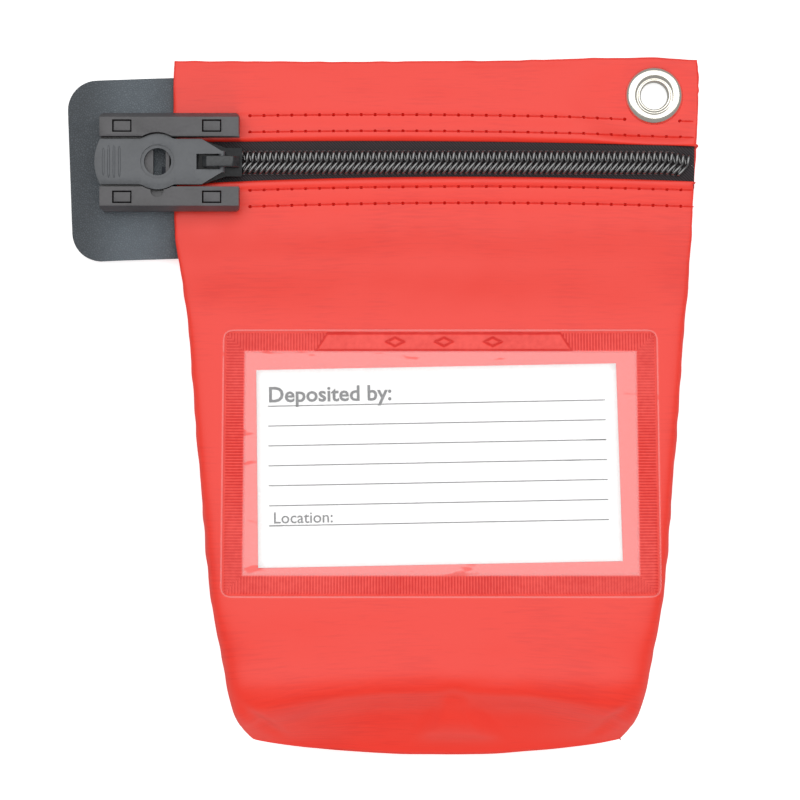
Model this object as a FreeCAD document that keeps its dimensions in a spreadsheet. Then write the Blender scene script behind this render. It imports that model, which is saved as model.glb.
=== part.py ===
"""A cash deposit bag: a small coated-cloth pouch with a coil zip, a lock housing for a security seal,
an eyelet and a clear label window.

The bag lies on its back. +X runs across it towards the eyelet, +Y up it towards the top hem, +Z out
of its front. The origin is on the face that the back panel rests on, at the middle of its width and
half way up the bag. Lengths are in millimetres.
"""
import FreeCAD, Part
import math
import os
import re

import Sketcher
from FreeCAD import Placement, Rotation, Vector

# Driving dimensions: alias, value, what it is.
DIMENSIONS = [
    ("vinyl", 0.7, "thickness of the coated cloth"),
    ("below_rest", 0.4, "how far the lofted form reaches below its flat resting face"),
    ("hem_y", 100.0, "top hem"),
    ("hem_half", 75.8, "half width of the bag at the hem"),
    ("hem_thick", 2.0, "thickness of the bag at the hem"),
    ("band_y", 85.5, "where the top band starts to fall to the hem"),
    ("band_half", 75.6, "half width there"),
    ("zip_thick", 4.7, "thickness of the bag along the zip"),
    ("ledge_y", 54.5, "where the front starts to rise below the zip"),
    ("ledge_half", 73.8, "half width there"),
    ("brow_y", 24.0, "upper end of the flat label panel"),
    ("brow_half", 70.8, "half width there"),
    ("brow_thick", 15.5, "thickness there"),
    ("hip_y", -57.0, "lower end of the flat label panel"),
    ("hip_half", 63.2, "half width there"),
    ("hip_thick", 31.0, "thickness there"),
    ("heel_y", -80.0, "where the front rolls over into the base"),
    ("heel_half", 58.8, "half width there"),
    ("heel_thick", 33.5, "thickness there"),
    ("base_y", -99.7, "furthest point of the rounded base"),
    ("base_mid_z", 17.0, "height of that point"),
    ("foot_y", -91.0, "where the base meets the back panel"),
    ("base_corner_x", 50.0, "half width of the base at its boxed corners"),
    ("base_corner_y", -94.5, "place of those corners"),
    ("zip_y", 70.0, "centre line of the zip"),
    ("slot_half", 5.2, "half width of the gap that shows the zip"),
    ("zip_left", -74.2, "left end of the zip tape"),
    ("zip_right", 73.2, "right end of the zip"),
    ("tape_inner", 1.2, "from the centre line to a tape's inner edge"),
    ("tape_outer", 15.2, "from the centre line to a tape's outer edge"),
    ("tape_thick", 0.5, "thickness of a tape"),
    ("coil_inner", 1.25, "from the centre line to a coil's inner side"),
    ("coil_half", 3.3, "from the centre line to a coil's outer side"),
    ("coil_high", 1.8, "height of a coil above its tape"),
    ("coil_left", -66.0, "left end of the meshed coils"),
    ("stitch_near", 8.1, "from the centre line to the near row of stitches"),
    ("stitch_far", 12.9, "from the centre line to the far row"),
    ("stitch_first", -54.5, "first stitch to the right of the lock housing"),
    ("stitch_pitch", 3.95, "from stitch to stitch"),
    ("stitch_long", 3.3, "length of a stitch"),
    ("thread_wide", 0.5, "width of the sewing thread"),
    ("thread_high", 0.15, "height of a stitch above the cloth"),
    ("lock_left", -97.5, "left end of the lock housing"),
    ("lock_right", -57.2, "right end of the lock housing"),
    ("lock_half", 14.2, "half width of the housing at its foot"),
    ("lock_top_half", 12.8, "half width of its flat top"),
    ("lock_corner", 1.2, "radius of its corners seen from above"),
    ("lock_shoulder_z", 8.0, "where its sides start to lean in"),
    ("lock_top_z", 10.5, "top of the rails"),
    ("rail_gap", 7.3, "from the centre line to a rail's lip"),
    ("lip_under_z", 9.6, "underside of the rails' lips"),
    ("groove_half", 8.35, "from the centre line to the bottom of a rail's groove"),
    ("lock_floor_z", 7.0, "top of the floor between the rails"),
    ("lock_floor_thick", 1.4, "thickness of that floor"),
    ("lock_floor_right", -77.5, "right end of that floor"),
    ("seal_x", -80.8, "centre of the seal hole"),
    ("seal_recess", 8.45, "radius of the recess round the pull's lobe"),
    ("seal_slot_wide", 3.6, "width of the seal slot in the floor"),
    ("seal_slot_long", 10.0, "length of the seal slot"),
    ("thumb_notch", 1.9, "radius of the notch in the lower rail"),
    ("post_left_x", -91.0, "centre of the left snap posts"),
    ("post_right_x", -65.0, "centre of the right snap posts"),
    ("post_y", 10.3, "from the centre line to the snap posts"),
    ("post_long", 5.0, "length of a snap post"),
    ("post_wide", 3.0, "width of a snap post"),
    ("post_play", 0.3, "gap round a snap post"),
    ("back_plate_z", 1.0, "underside of the lock's back plate"),
    ("tab_z", 2.6, "underside of the grip tab"),
    ("tab_thick", 0.8, "thickness of the grip tab"),
    ("tab_left", -107.0, "left edge of the grip tab"),
    ("tab_seam", -76.2, "where the tab meets the bag's side seam"),
    ("tab_y", 68.0, "middle of the grip tab"),
    ("tab_half", 26.6, "half height of the grip tab"),
    ("tab_corner", 8.5, "radius of its outer corners"),
    ("tongue_half", 14.0, "half height of its tongue inside the bag"),
    ("tongue_right", -56.0, "right end of that tongue"),
    ("tab_lean", 2.0, "degrees that the tab leans from square"),
    ("slider_left", -70.9, "front end of the slider"),
    ("slider_shoulder_x", -67.0, "widest place of the slider"),
    ("slider_waist_x", -61.0, "where the slider becomes narrow"),
    ("slider_right", -56.4, "rear end of the slider"),
    ("slider_front_half", 4.6, "half width of the slider's front end"),
    ("slider_shoulder_half", 6.2, "half width of its shoulders"),
    ("slider_rear_half", 4.2, "half width of its rear end"),
    ("slider_bottom_z", 2.0, "underside of the slider"),
    ("slider_bottom_thick", 1.2, "thickness of its lower plate"),
    ("slider_top_z", 6.1, "underside of its upper plate"),
    ("slider_top_thick", 1.0, "thickness of its upper plate"),
    ("flange_thick", 0.6, "thickness of its side flanges"),
    ("bridge_left", -67.8, "left end of the slider's bridge"),
    ("bridge_right", -57.0, "right end of the bridge"),
    ("bridge_half", 1.6, "half width of the bridge"),
    ("bridge_under_z", 9.5, "underside of the bridge's bar"),
    ("bridge_thick", 1.2, "thickness of the bridge"),
    ("pull_axis_x", -62.2, "axis that the pull swings about"),
    ("pull_axis_z", 8.3, "height of that axis"),
    ("pull_thick", 2.0, "thickness of the pull"),
    ("pull_left", -97.4, "left corners of the pull"),
    ("pull_half", 6.6, "half width of the pull"),
    ("pull_end_arc", 13.7, "radius of its rounded left end"),
    ("pull_taper_x", -68.0, "where its right end starts to narrow"),
    ("pull_nose_half", 3.1, "half width of its nose"),
    ("pull_nose", 0.97, "radius of its nose and pivot bar"),
    ("pull_lobe", 8.05, "radius of the lobe round the seal hole"),
    ("pull_blend", 3.0, "radius that blends the lobe into the pull's sides"),
    ("pull_slot_left", -69.5, "left end of the slot that the bridge passes through"),
    ("pull_slot_half", 2.25, "half width of that slot"),
    ("seal_bore", 3.95, "radius of the seal hole"),
    ("seal_rim", 4.95, "radius of the rim sunk round it"),
    ("seal_rim_deep", 0.5, "depth of that rim"),
    ("eyelet_x", 63.8, "centre of the eyelet"),
    ("eyelet_y", 89.8, "centre of the eyelet"),
    ("eyelet_bore", 4.0, "radius of the eyelet's bore"),
    ("eyelet_barrel", 4.35, "outer radius of its barrel"),
    ("eyelet_flange", 8.4, "outer radius of its flange"),
    ("eyelet_dome", 1.2, "height of its flange"),
    ("washer_thick", 0.8, "thickness of its back washer"),
    ("washer_flange", 8.0, "outer radius of that washer"),
    ("dimple", 8.8, "radius of the pressed seat in each layer of cloth"),
    ("window_x", 1.1, "middle of the label window"),
    ("window_y", -16.1, "middle of the label window, seen from above"),
    ("window_wide", 124.0, "outer width of the welded frame"),
    ("window_high", 76.5, "outer height of the welded frame, along the cloth"),
    ("weld_wide", 6.3, "width of the welded frame's band"),
    ("weld_thick", 0.8, "height of the welded frame above the cloth"),
    ("weld_corner", 2.5, "radius of its outer corners"),
    ("film_thick", 0.25, "thickness of the clear film"),
    ("card_wide", 103.0, "width of the label card"),
    ("card_high", 57.0, "height of the label card"),
    ("card_thick", 0.25, "thickness of the label card"),
    ("card_lift", 0.15, "gap between the cloth and the card"),
    ("card_x", -0.7, "middle of the card, from the middle of the window"),
    ("card_spin", 1.1, "degrees that the card is turned from square in its pocket"),
    ("slit_high", 2.5, "height of the slit behind the card, for changing it"),
]
NAMES = {name for name, _, _ in DIMENSIONS}

doc = FreeCAD.newDocument("cash_deposit_bag")
sheet = doc.addObject("Spreadsheet::Sheet", "dims")
for line, (name, value, meaning) in enumerate(DIMENSIONS, start=1):
    sheet.set(f"A{line}", meaning)
    sheet.set(f"B{line}", str(value))
    sheet.setAlias(f"B{line}", name)
doc.recompute()


# ---------------------------------------------------------------- expressions and small helpers
def bound(text):
    """An expression in which every driving dimension is named with its sheet."""
    return re.sub(r"[a-z_]+", lambda m: "dims." + m[0] if m[0] in NAMES else m[0], str(text))


def value(text):
    """The number that an expression gives."""
    return float(sheet.evalExpression(bound(text)))


def bind(thing, **expressions):
    """Binds properties to expressions; a double underscore in a name stands for a dot."""
    for path, text in expressions.items():
        thing.setExpression(path.replace("__", "."), bound(text))
    return thing


def place(thing, x="0", y="0", z="0"):
    return bind(thing, Placement__Base__x=x, Placement__Base__y=y, Placement__Base__z=z)


def box(name, x, y, z):
    """A block between two expressions along each axis."""
    made = doc.addObject("Part::Box", name)
    bind(made, Length=f"({x[1]}) - ({x[0]})", Width=f"({y[1]}) - ({y[0]})")
    bind(made, Height=f"({z[1]}) - ({z[0]})")
    return place(made, x[0], y[0], z[0])


def cylinder(name, x, y, z, radius, height):
    made = doc.addObject("Part::Cylinder", name)
    bind(made, Radius=radius, Height=height)
    return place(made, x, y, z)


def cut(name, base, tool):
    made = doc.addObject("Part::Cut", name)
    made.Base, made.Tool = base, tool
    return made


def fuse(name, *shapes):
    made = doc.addObject("Part::MultiFuse", name)
    made.Shapes = list(shapes)
    return made


def common(name, *shapes):
    made = doc.addObject("Part::MultiCommon", name)
    made.Shapes = list(shapes)
    return made


# ---------------------------------------------------------------- sketches
def pin_point(sketch, index, end, x, y):
    """Fixes a sketch point at two expressions."""
    for kind, axis, text in (("DistanceX", -2, x), ("DistanceY", -1, y)):
        number = value(text)
        if abs(number) < 1e-9:
            sketch.addConstraint(Sketcher.Constraint("PointOnObject", index, end, axis))
            continue
        row = sketch.addConstraint(Sketcher.Constraint(kind, -1, 1, index, end, number))
        sketch.setExpression(f"Constraints[{row}]", bound(text))


def draw_loop(sketch, corners):
    """A closed outline. A corner is (x, y), or (x, y, radius) where an arc leaves it: a positive
    radius turns left of the way to the next corner's centre, a negative one turns right."""
    spots = [Vector(value(c[0]), value(c[1]), 0) for c in corners]
    ends = []
    for i, corner in enumerate(corners):
        here, there = spots[i], spots[(i + 1) % len(spots)]
        if len(corner) == 2:
            index = sketch.addGeometry(Part.LineSegment(here, there))
            ends.append((index, 1, 2))
            continue
        radius = value(corner[2])
        chord = there - here
        side = Vector(-chord.y, chord.x, 0).normalize() * math.copysign(1, radius)
        rise = math.sqrt(max(radius * radius - chord.Length ** 2 / 4, 0))
        centre = here + chord * 0.5 + side * rise
        first, last = (here, there) if radius > 0 else (there, here)
        angles = [math.atan2(p.y - centre.y, p.x - centre.x) for p in (first, last)]
        circle = Part.Circle(centre, Vector(0, 0, 1), abs(radius))
        index = sketch.addGeometry(Part.ArcOfCircle(circle, angles[0], angles[1]))
        row = sketch.addConstraint(Sketcher.Constraint("Radius", index, abs(radius)))
        sketch.setExpression(f"Constraints[{row}]", bound(f"abs({corner[2]})"))
        ends.append((index, 1, 2) if radius > 0 else (index, 2, 1))
    for i, (index, start, end) in enumerate(ends):
        after = ends[(i + 1) % len(ends)]
        sketch.addConstraint(Sketcher.Constraint("Coincident", index, end, after[0], after[1]))
        pin_point(sketch, index, start, corners[i][0], corners[i][1])


def draw_circle(sketch, x, y, radius):
    spot = Vector(value(x), value(y), 0)
    index = sketch.addGeometry(Part.Circle(spot, Vector(0, 0, 1), value(radius)))
    row = sketch.addConstraint(Sketcher.Constraint("Radius", index, value(radius)))
    sketch.setExpression(f"Constraints[{row}]", bound(radius))
    pin_point(sketch, index, 3, x, y)


def rectangle(x0, x1, y0, y1):
    return [(x0, y0), (x1, y0), (x1, y1), (x0, y1)]


def rounded_rectangle(x0, x1, y0, y1, radius):
    """A rectangle whose corners are arcs, drawn anticlockwise."""
    low, high = f"{y0} + {radius}", f"{y1} - {radius}"
    left, right = f"{x0} + {radius}", f"{x1} - {radius}"
    return [(left, y0), (right, y0, radius), (x1, low), (x1, high, radius),
            (right, y1), (left, y1, radius), (x0, high), (x0, low, radius)]


def free_sketch(name, rotation, *loops):
    """A sketch outside any body, turned to its plane."""
    sketch = doc.addObject("Sketcher::SketchObject", name)
    sketch.Placement = Placement(Vector(0, 0, 0), rotation)
    for corners in loops:
        draw_loop(sketch, corners)
    return sketch


def prism(name, sketch, length, along, back=None):
    """A free sketch carried along an axis, and as far back unless told otherwise."""
    made = doc.addObject("Part::Extrusion", name)
    made.Base, made.Solid, made.Dir, made.DirMode = sketch, True, along, "Custom"
    bind(made, LengthFwd=length, LengthRev=back or length)
    return made


SIDE_VIEW = Rotation(Vector(0, 1, 0), Vector(0, 0, 1), Vector(1, 0, 0), "ZXY")  # sketch x is Y, y is Z
PLAN_VIEW = Rotation()


def body(name):
    made = doc.addObject("PartDesign::Body", name)
    made.Label = name
    return made


def body_sketch(owner, name, role, offset="0"):
    """A sketch on one of a body's own origin planes, moved along the plane's normal."""
    plane = next(p for p in owner.Origin.OriginFeatures if p.Role == role)
    sketch = owner.newObject("Sketcher::SketchObject", name)
    sketch.AttachmentSupport, sketch.MapMode = (plane, [""]), "FlatFace"
    sketch.setExpression("AttachmentOffset.Base.z", bound(offset))
    return sketch


def pad(owner, sketch, length):
    made = owner.newObject("PartDesign::Pad", sketch.Name + "_pad")
    made.Profile = sketch
    bind(made, Length=length)
    owner.Tip = made
    return made


def pocket(owner, sketch, length, upwards=False):
    """Cuts down from the sketch, or up, and checks that something was cut."""
    doc.recompute()
    before = owner.Tip.Shape.Volume
    made = owner.newObject("PartDesign::Pocket", sketch.Name + "_cut")
    made.Profile, made.Reversed = sketch, upwards
    bind(made, Length=length)
    owner.Tip = made
    doc.recompute()
    if made.Shape.Volume >= before - 1e-6:
        raise SystemExit(f"{made.Name} cuts nothing")
    return made


def fillet_edges(owner, name, radius, wanted):
    """Rounds the edges of a body for which wanted(edge) is true."""
    doc.recompute()
    base = owner.Tip
    picked = [f"Edge{i}" for i, edge in enumerate(base.Shape.Edges, start=1) if wanted(edge)]
    if not picked:
        raise SystemExit(f"{name} finds no edges")
    made = owner.newObject("PartDesign::Fillet", name)
    made.Base = (base, picked)
    bind(made, Radius=radius)
    owner.Tip = made
    return made


def rises_between(edge, spots, reach=0.2):
    """True for an edge that rises, with both its ends over the named spots."""
    first, last = edge.Vertexes[0].Point, edge.Vertexes[-1].Point
    over = [any(math.hypot(p.x - x, p.y - y) < reach for x, y in spots) for p in (first, last)]
    return abs(first.z - last.z) > reach and all(over)


# ---------------------------------------------------------------- the pouch of coated cloth
# Stations down the bag: name, half width, thickness, radius of the side edges.
STATIONS = [
    ("hem_y", "hem_half", "hem_thick", "0.8"),
    ("band_y", "band_half", "zip_thick", "2"),
    ("ledge_y", "ledge_half", "zip_thick", "2"),
    ("brow_y", "brow_half", "brow_thick", "4"),
    ("hip_y", "hip_half", "hip_thick", "4"),
    ("heel_y", "heel_half", "heel_thick", "5"),
    ("base_y - 4", "heel_half - 4", "heel_thick", "5"),
]


def section(name, y, half, low, high, radius):
    """A rounded rectangle across the bag at one station."""
    corners = [
        (f"-({half}) + ({radius})", low), (f"({half}) - ({radius})", low, radius),
        (half, f"({low}) + ({radius})"), (half, f"({high}) - ({radius})", radius),
        (f"({half}) - ({radius})", high), (f"-({half}) + ({radius})", high, radius),
        (f"-({half})", f"({high}) - ({radius})"), (f"-({half})", f"({low}) + ({radius})", radius),
    ]
    # Sketch x is X and y is Z, so the sketch's normal is -Y.
    sketch = free_sketch(name, Rotation(Vector(1, 0, 0), 90), corners)
    return bind(sketch, Placement__Base__y=y)


def pouch(name, inset):
    """The filled form of the bag, drawn in by inset on every side."""
    wires = []
    for i, (y, half, thick, radius) in enumerate(STATIONS):
        top = f"{y} - {inset}" if i == 0 else y
        small = f"max({radius} - {inset}; 0.25)" if inset != "0" else radius
        wires.append(section(f"{name}_section_{i}", top, f"{half} - {inset}",
                             f"{inset} - below_rest", f"{thick} - {inset}", small))
    loft = doc.addObject("Part::Loft", name + "_loft")
    loft.Sections, loft.Solid, loft.Ruled = wires, True, True
    # From the side: a rounded base between the front and the back panel.
    side = [
        ("hem_y + 10", "-5"), ("hem_y + 10", "heel_thick + 10"), ("heel_y", "heel_thick + 10"),
        ("heel_y", f"heel_thick + 0.4 - {inset}", "20"),
        (f"base_y + {inset}", "base_mid_z", "20"), (f"foot_y + {inset}", "-5"),
    ]
    side_form = prism(name + "_side", free_sketch(name + "_side_sketch", SIDE_VIEW, side),
                      "hem_half + 10", Vector(1, 0, 0))
    # From above: boxed corners and a base that bows out.
    corner_x, corner_y = f"base_corner_x - {inset}", f"base_corner_y + {inset}"
    bow = f"((base_corner_x) ^ 2 + (base_corner_y - base_y) ^ 2) / (2 * (base_corner_y - base_y))"
    plan = [
        ("90", "hem_y + 10"), ("-90", "hem_y + 10"), ("-90", "heel_y - 2"),
        (f"-(base_corner_x + 10 - {inset})", "heel_y - 2"),
        (f"-({corner_x})", corner_y, bow), (corner_x, corner_y),
        (f"base_corner_x + 10 - {inset}", "heel_y - 2"), ("90", "heel_y - 2"),
    ]
    # The plan starts at the face that the bag rests on, which cuts that face truly flat.
    plan_sketch = bind(free_sketch(name + "_plan_sketch", PLAN_VIEW, plan), Placement__Base__z=inset)
    plan_form = prism(name + "_plan", plan_sketch, "heel_thick + 10", Vector(0, 0, 1), "0")
    return common(name, loft, side_form, plan_form)


def cloth_panels():
    """The back panel, the front panel and the top band, cut from one shell."""
    shell = cut("cloth_shell", pouch("outer_form", "0"), pouch("inner_form", "vinyl"))
    seam_line = [
        ("hem_y + 10", "-5"), ("hem_y + 10", "hem_thick / 2"), ("hem_y", "hem_thick / 2"),
        ("band_y", "zip_thick / 2"), ("ledge_y", "zip_thick / 2"), ("brow_y", "brow_thick / 2"),
        ("hip_y", "hip_thick / 2"), ("heel_y", "heel_thick / 2"),
        ("base_y - 10", "heel_thick / 2"), ("base_y - 10", "-5"),
    ]
    below = prism("below_seam", free_sketch("seam_sketch", SIDE_VIEW, seam_line),
                  "hem_half + 12", Vector(1, 0, 0))
    side_slit = box("side_slit", ("tab_seam - 6", "tab_seam + 8"),
                    ("tab_y - tongue_half - 3", "tab_y + tongue_half + 5"),
                    ("vinyl + 0.2", "zip_thick - vinyl"))
    wide = ("-hem_half - 10", "hem_half + 10")
    deep = ("-5", "heel_thick + 10")
    lower_side = box("lower_side", wide, ("base_y - 10", "zip_y - slot_half"), deep)
    upper_side = box("upper_side", wide, ("zip_y + slot_half", "hem_y + 10"), deep)
    front = cut("front_half", cut("front_closed", shell, below), side_slit)
    slope = f"(hip_thick - brow_thick) / (brow_y - hip_y)"
    slit = box("card_slit", ("window_x + card_x - card_wide / 2", "window_x + card_x + card_wide / 2"),
               ("window_y - card_high / 2 + 4", "window_y - card_high / 2 + 4 + slit_high"),
               (f"brow_thick + (brow_y - window_y + card_high / 2 - 4) * {slope} - 4", "heel_thick + 10"))
    posts = post_holes("cloth_post_holes", [("right", "post_right_x")], "0.2")
    front_panel = cut("front_panel_whole", common("front_lower", front, lower_side), posts)
    front_panel = cut("front_panel", front_panel, slit)
    band = cut("band_whole", common("front_upper", front, upper_side), posts)
    top_band = pressed_seat("top_band", band, "washer_thick + vinyl", "zip_thick + 1", True)
    back = cut("back_whole", common("back_closed", shell, below), side_slit)
    back_panel = pressed_seat("back_panel", back, "washer_thick", "-1", False)
    return [front_panel, top_band, back_panel]


def pressed_seat(name, panel, seat_z, far_z, from_front):
    """Presses a flat round seat for the eyelet into a layer of cloth, joined to it by a short wall."""
    low, high = (seat_z, far_z) if from_front else (far_z, f"{seat_z} + vinyl")
    spot = ("eyelet_x", "eyelet_y")
    hollow = cylinder(name + "_hollow", *spot, low, "dimple", f"({high}) - ({low})")
    wall = cylinder(name + "_wall", *spot, low, "dimple + vinyl", f"({high}) - ({low})")
    open_z = (f"{seat_z} + vinyl", far_z) if from_front else (far_z, seat_z)
    void = cylinder(name + "_void", *spot, open_z[0], "dimple", f"({open_z[1]}) - ({open_z[0]})")
    cup = common(name + "_cup", cut(name + "_cup_whole", wall, void), doc.getObject("outer_form"))
    joined = fuse(name + "_joined", cut(name + "_open", panel, hollow), cup)
    barrel = cylinder(name + "_barrel_hole", *spot, "-2", "eyelet_barrel", "hem_thick + 10")
    return cut(name, joined, barrel)


def post_holes(name, columns, play):
    """Blocks that clear the snap posts, for cutting cloth, tape and the tab."""
    blocks = []
    for column, x in columns:
        for side, sign in (("upper", "+"), ("lower", "-")):
            y = f"zip_y {sign} post_y"
            blocks.append(box(
                f"{name}_{column}_{side}",
                (f"{x} - post_long / 2 - {play}", f"{x} + post_long / 2 + {play}"),
                (f"{y} - post_wide / 2 - {play}", f"{y} + post_wide / 2 + {play}"),
                ("-2", "lock_top_z + 2")))
    return fuse(name, *blocks)


# ---------------------------------------------------------------- the zip
CLOTH_UNDER = "zip_thick - vinyl"  # underside of the cloth along the zip


def zip_tapes():
    """Two woven tapes under the edges of the cloth, notched for the posts and the eyelet."""
    holes = post_holes("tape_post_holes", [("right", "post_right_x")], "0.2")
    notch = cylinder("tape_eyelet_notch", "eyelet_x", "eyelet_y", "-2", "dimple + vinyl + 0.3", "12")
    made = []
    for side, low, high in (("upper", "zip_y + tape_inner", "zip_y + tape_outer"),
                            ("lower", "zip_y - tape_outer", "zip_y - tape_inner")):
        strip = box(f"tape_strip_{side}", ("zip_left", "zip_right - 1.5"), (low, high),
                    (f"{CLOTH_UNDER} - tape_thick", CLOTH_UNDER))
        made.append(cut(f"zip_tape_{side}", strip, fuse(f"tape_gaps_{side}", holes, notch)))
    return made


def zip_coils():
    """Each coil as a plain bar with a bevelled back, parted so that the slider's wedge passes."""
    made = []
    for side, sign in (("upper", ""), ("lower", "-")):
        y = [f"{sign}({d})" for d in ("coil_inner", "coil_half", "coil_half", "coil_half - 0.7")]
        corners = [
            (f"zip_y + {y[0]}", CLOTH_UNDER), (f"zip_y + {y[1]}", CLOTH_UNDER),
            (f"zip_y + {y[2]}", f"{CLOTH_UNDER} + coil_high / 2"),
            (f"zip_y + {y[3]}", f"{CLOTH_UNDER} + coil_high"),
            (f"zip_y + {y[0]}", f"{CLOTH_UNDER} + coil_high"),
        ]
        made_body = body(f"zip_coil_{side}")
        sketch = body_sketch(made_body, f"coil_{side}_end", "YZ_Plane", "coil_left")
        draw_loop(sketch, corners)
        pad(made_body, sketch, "zip_right - coil_left")
        made.append(made_body)
    return made


def zip_top_stops():
    """A crimped stop on each tape, just in front of the closed slider."""
    made = [
        box(f"top_stop_{side}", ("slider_left - 2.2", "slider_left - 0.4"),
            (f"zip_y + {low}", f"zip_y + {high}"), (CLOTH_UNDER, f"{CLOTH_UNDER} + 1.2"))
        for side, low, high in (("upper", "1.2", "3.2"), ("lower", "-3.2", "-1.2"))
    ]
    stops = doc.addObject("Part::Compound", "zip_top_stops")
    stops.Links = made
    return stops


def stitch_rows():
    """Four rows of lockstitch along the zip, each a row of short raised stitches."""
    first, pitch, right = value("stitch_first"), value("stitch_pitch"), value("zip_right")
    size = [value(name) for name in ("stitch_long", "thread_wide", "thread_high")]
    top = value("zip_thick")
    eyelet = Vector(value("eyelet_x"), value("eyelet_y"), 0)
    clear = value("dimple + 1.2")
    made = []
    for name, offset in (("stitch_row_top_far", "stitch_far"), ("stitch_row_top_near", "stitch_near"),
                         ("stitch_row_low_near", "-stitch_near"), ("stitch_row_low_far", "-stitch_far")):
        y = value(f"zip_y + ({offset})")
        stitches = []
        for i in range(int((right - first) / pitch)):
            middle = Vector(first + (i + 0.5) * pitch, y, 0)
            if (middle - eyelet).Length < clear + size[0] / 2:
                continue
            corner = middle + Vector(-size[0] / 2, -size[1] / 2, top)
            stitches.append(Part.makeBox(*size, corner))
        row = doc.addObject("Part::Feature", name)
        row.Shape = Part.makeCompound(stitches)
        made.append(row)
    return made


def slider_outline():
    """The slider's plan: shoulders at its front, narrow at its rear."""
    right = [("slider_right", "slider_rear_half"), ("slider_waist_x", "slider_rear_half"),
             ("slider_shoulder_x", "slider_shoulder_half"), ("slider_left", "slider_front_half")]
    upper = [(x, f"zip_y + {half}") for x, half in right]
    lower = [(x, f"zip_y - {half}") for x, half in reversed(right)]
    return upper + lower


def slider_body():
    """Two plates joined by a wedge between the coils, with flanges beside the chain."""
    made = body("slider_body")
    lower = body_sketch(made, "slider_lower_plate", "XY_Plane", "slider_bottom_z")
    draw_loop(lower, slider_outline())
    pad(made, lower, "slider_bottom_thick")
    wedge = body_sketch(made, "slider_wedge", "XY_Plane", "slider_bottom_z + slider_bottom_thick / 2")
    draw_loop(wedge, [("slider_left + 0.3", "zip_y - 0.5"), ("slider_left + 1.6", "zip_y - 0.95"),
                      ("slider_left + 3.9", "zip_y"), ("slider_left + 1.6", "zip_y + 0.95"),
                      ("slider_left + 0.3", "zip_y + 0.5")])
    pad(made, wedge, "slider_top_z + slider_top_thick / 2 - slider_bottom_z - slider_bottom_thick / 2")
    upper = body_sketch(made, "slider_upper_plate", "XY_Plane", "slider_top_z")
    draw_loop(upper, slider_outline())
    pad(made, upper, "slider_top_thick")
    for side, sign in (("upper", "+"), ("lower", "-")):
        flange = body_sketch(made, f"slider_flange_{side}", "XY_Plane", "zip_thick + 0.3")
        outer = [("slider_right", "slider_rear_half"), ("slider_waist_x", "slider_rear_half"),
                 ("slider_shoulder_x", "slider_shoulder_half")]
        line = [(x, f"zip_y {sign} {half}") for x, half in outer]
        line += [(x, f"zip_y {sign} ({half} - flange_thick)") for x, half in reversed(outer)]
        draw_loop(flange, line)
        pad(made, flange, "slider_top_z - zip_thick - 0.3 + slider_top_thick / 2")
    return made


def slider_bridge():
    """The arched loop on top of the slider that carries the pull."""
    made = body("slider_bridge")
    # The plane's normal is -Y, so its offset is taken with that sign.
    sketch = body_sketch(made, "bridge_side", "XZ_Plane", "-zip_y - bridge_half")
    foot = "slider_top_z + slider_top_thick"
    top = "bridge_under_z + bridge_thick"
    draw_loop(sketch, [
        ("bridge_left", foot), ("bridge_left + bridge_thick", foot),
        ("bridge_left + bridge_thick", "bridge_under_z - 0.5"),
        ("bridge_left + bridge_thick + 0.5", "bridge_under_z"),
        ("bridge_right - bridge_thick - 1.5", "bridge_under_z"),
        ("bridge_right - bridge_thick - 1.1", foot), ("bridge_right", foot),
        ("bridge_right", f"{foot} + 0.6"), ("bridge_right - 1.6", f"{top} - 0.5"),
        ("bridge_right - 2.6", top), ("bridge_left + 1.3", top), ("bridge_left", f"{top} - 1.3"),
    ])
    pad(made, sketch, "2 * bridge_half")
    return made


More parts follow.
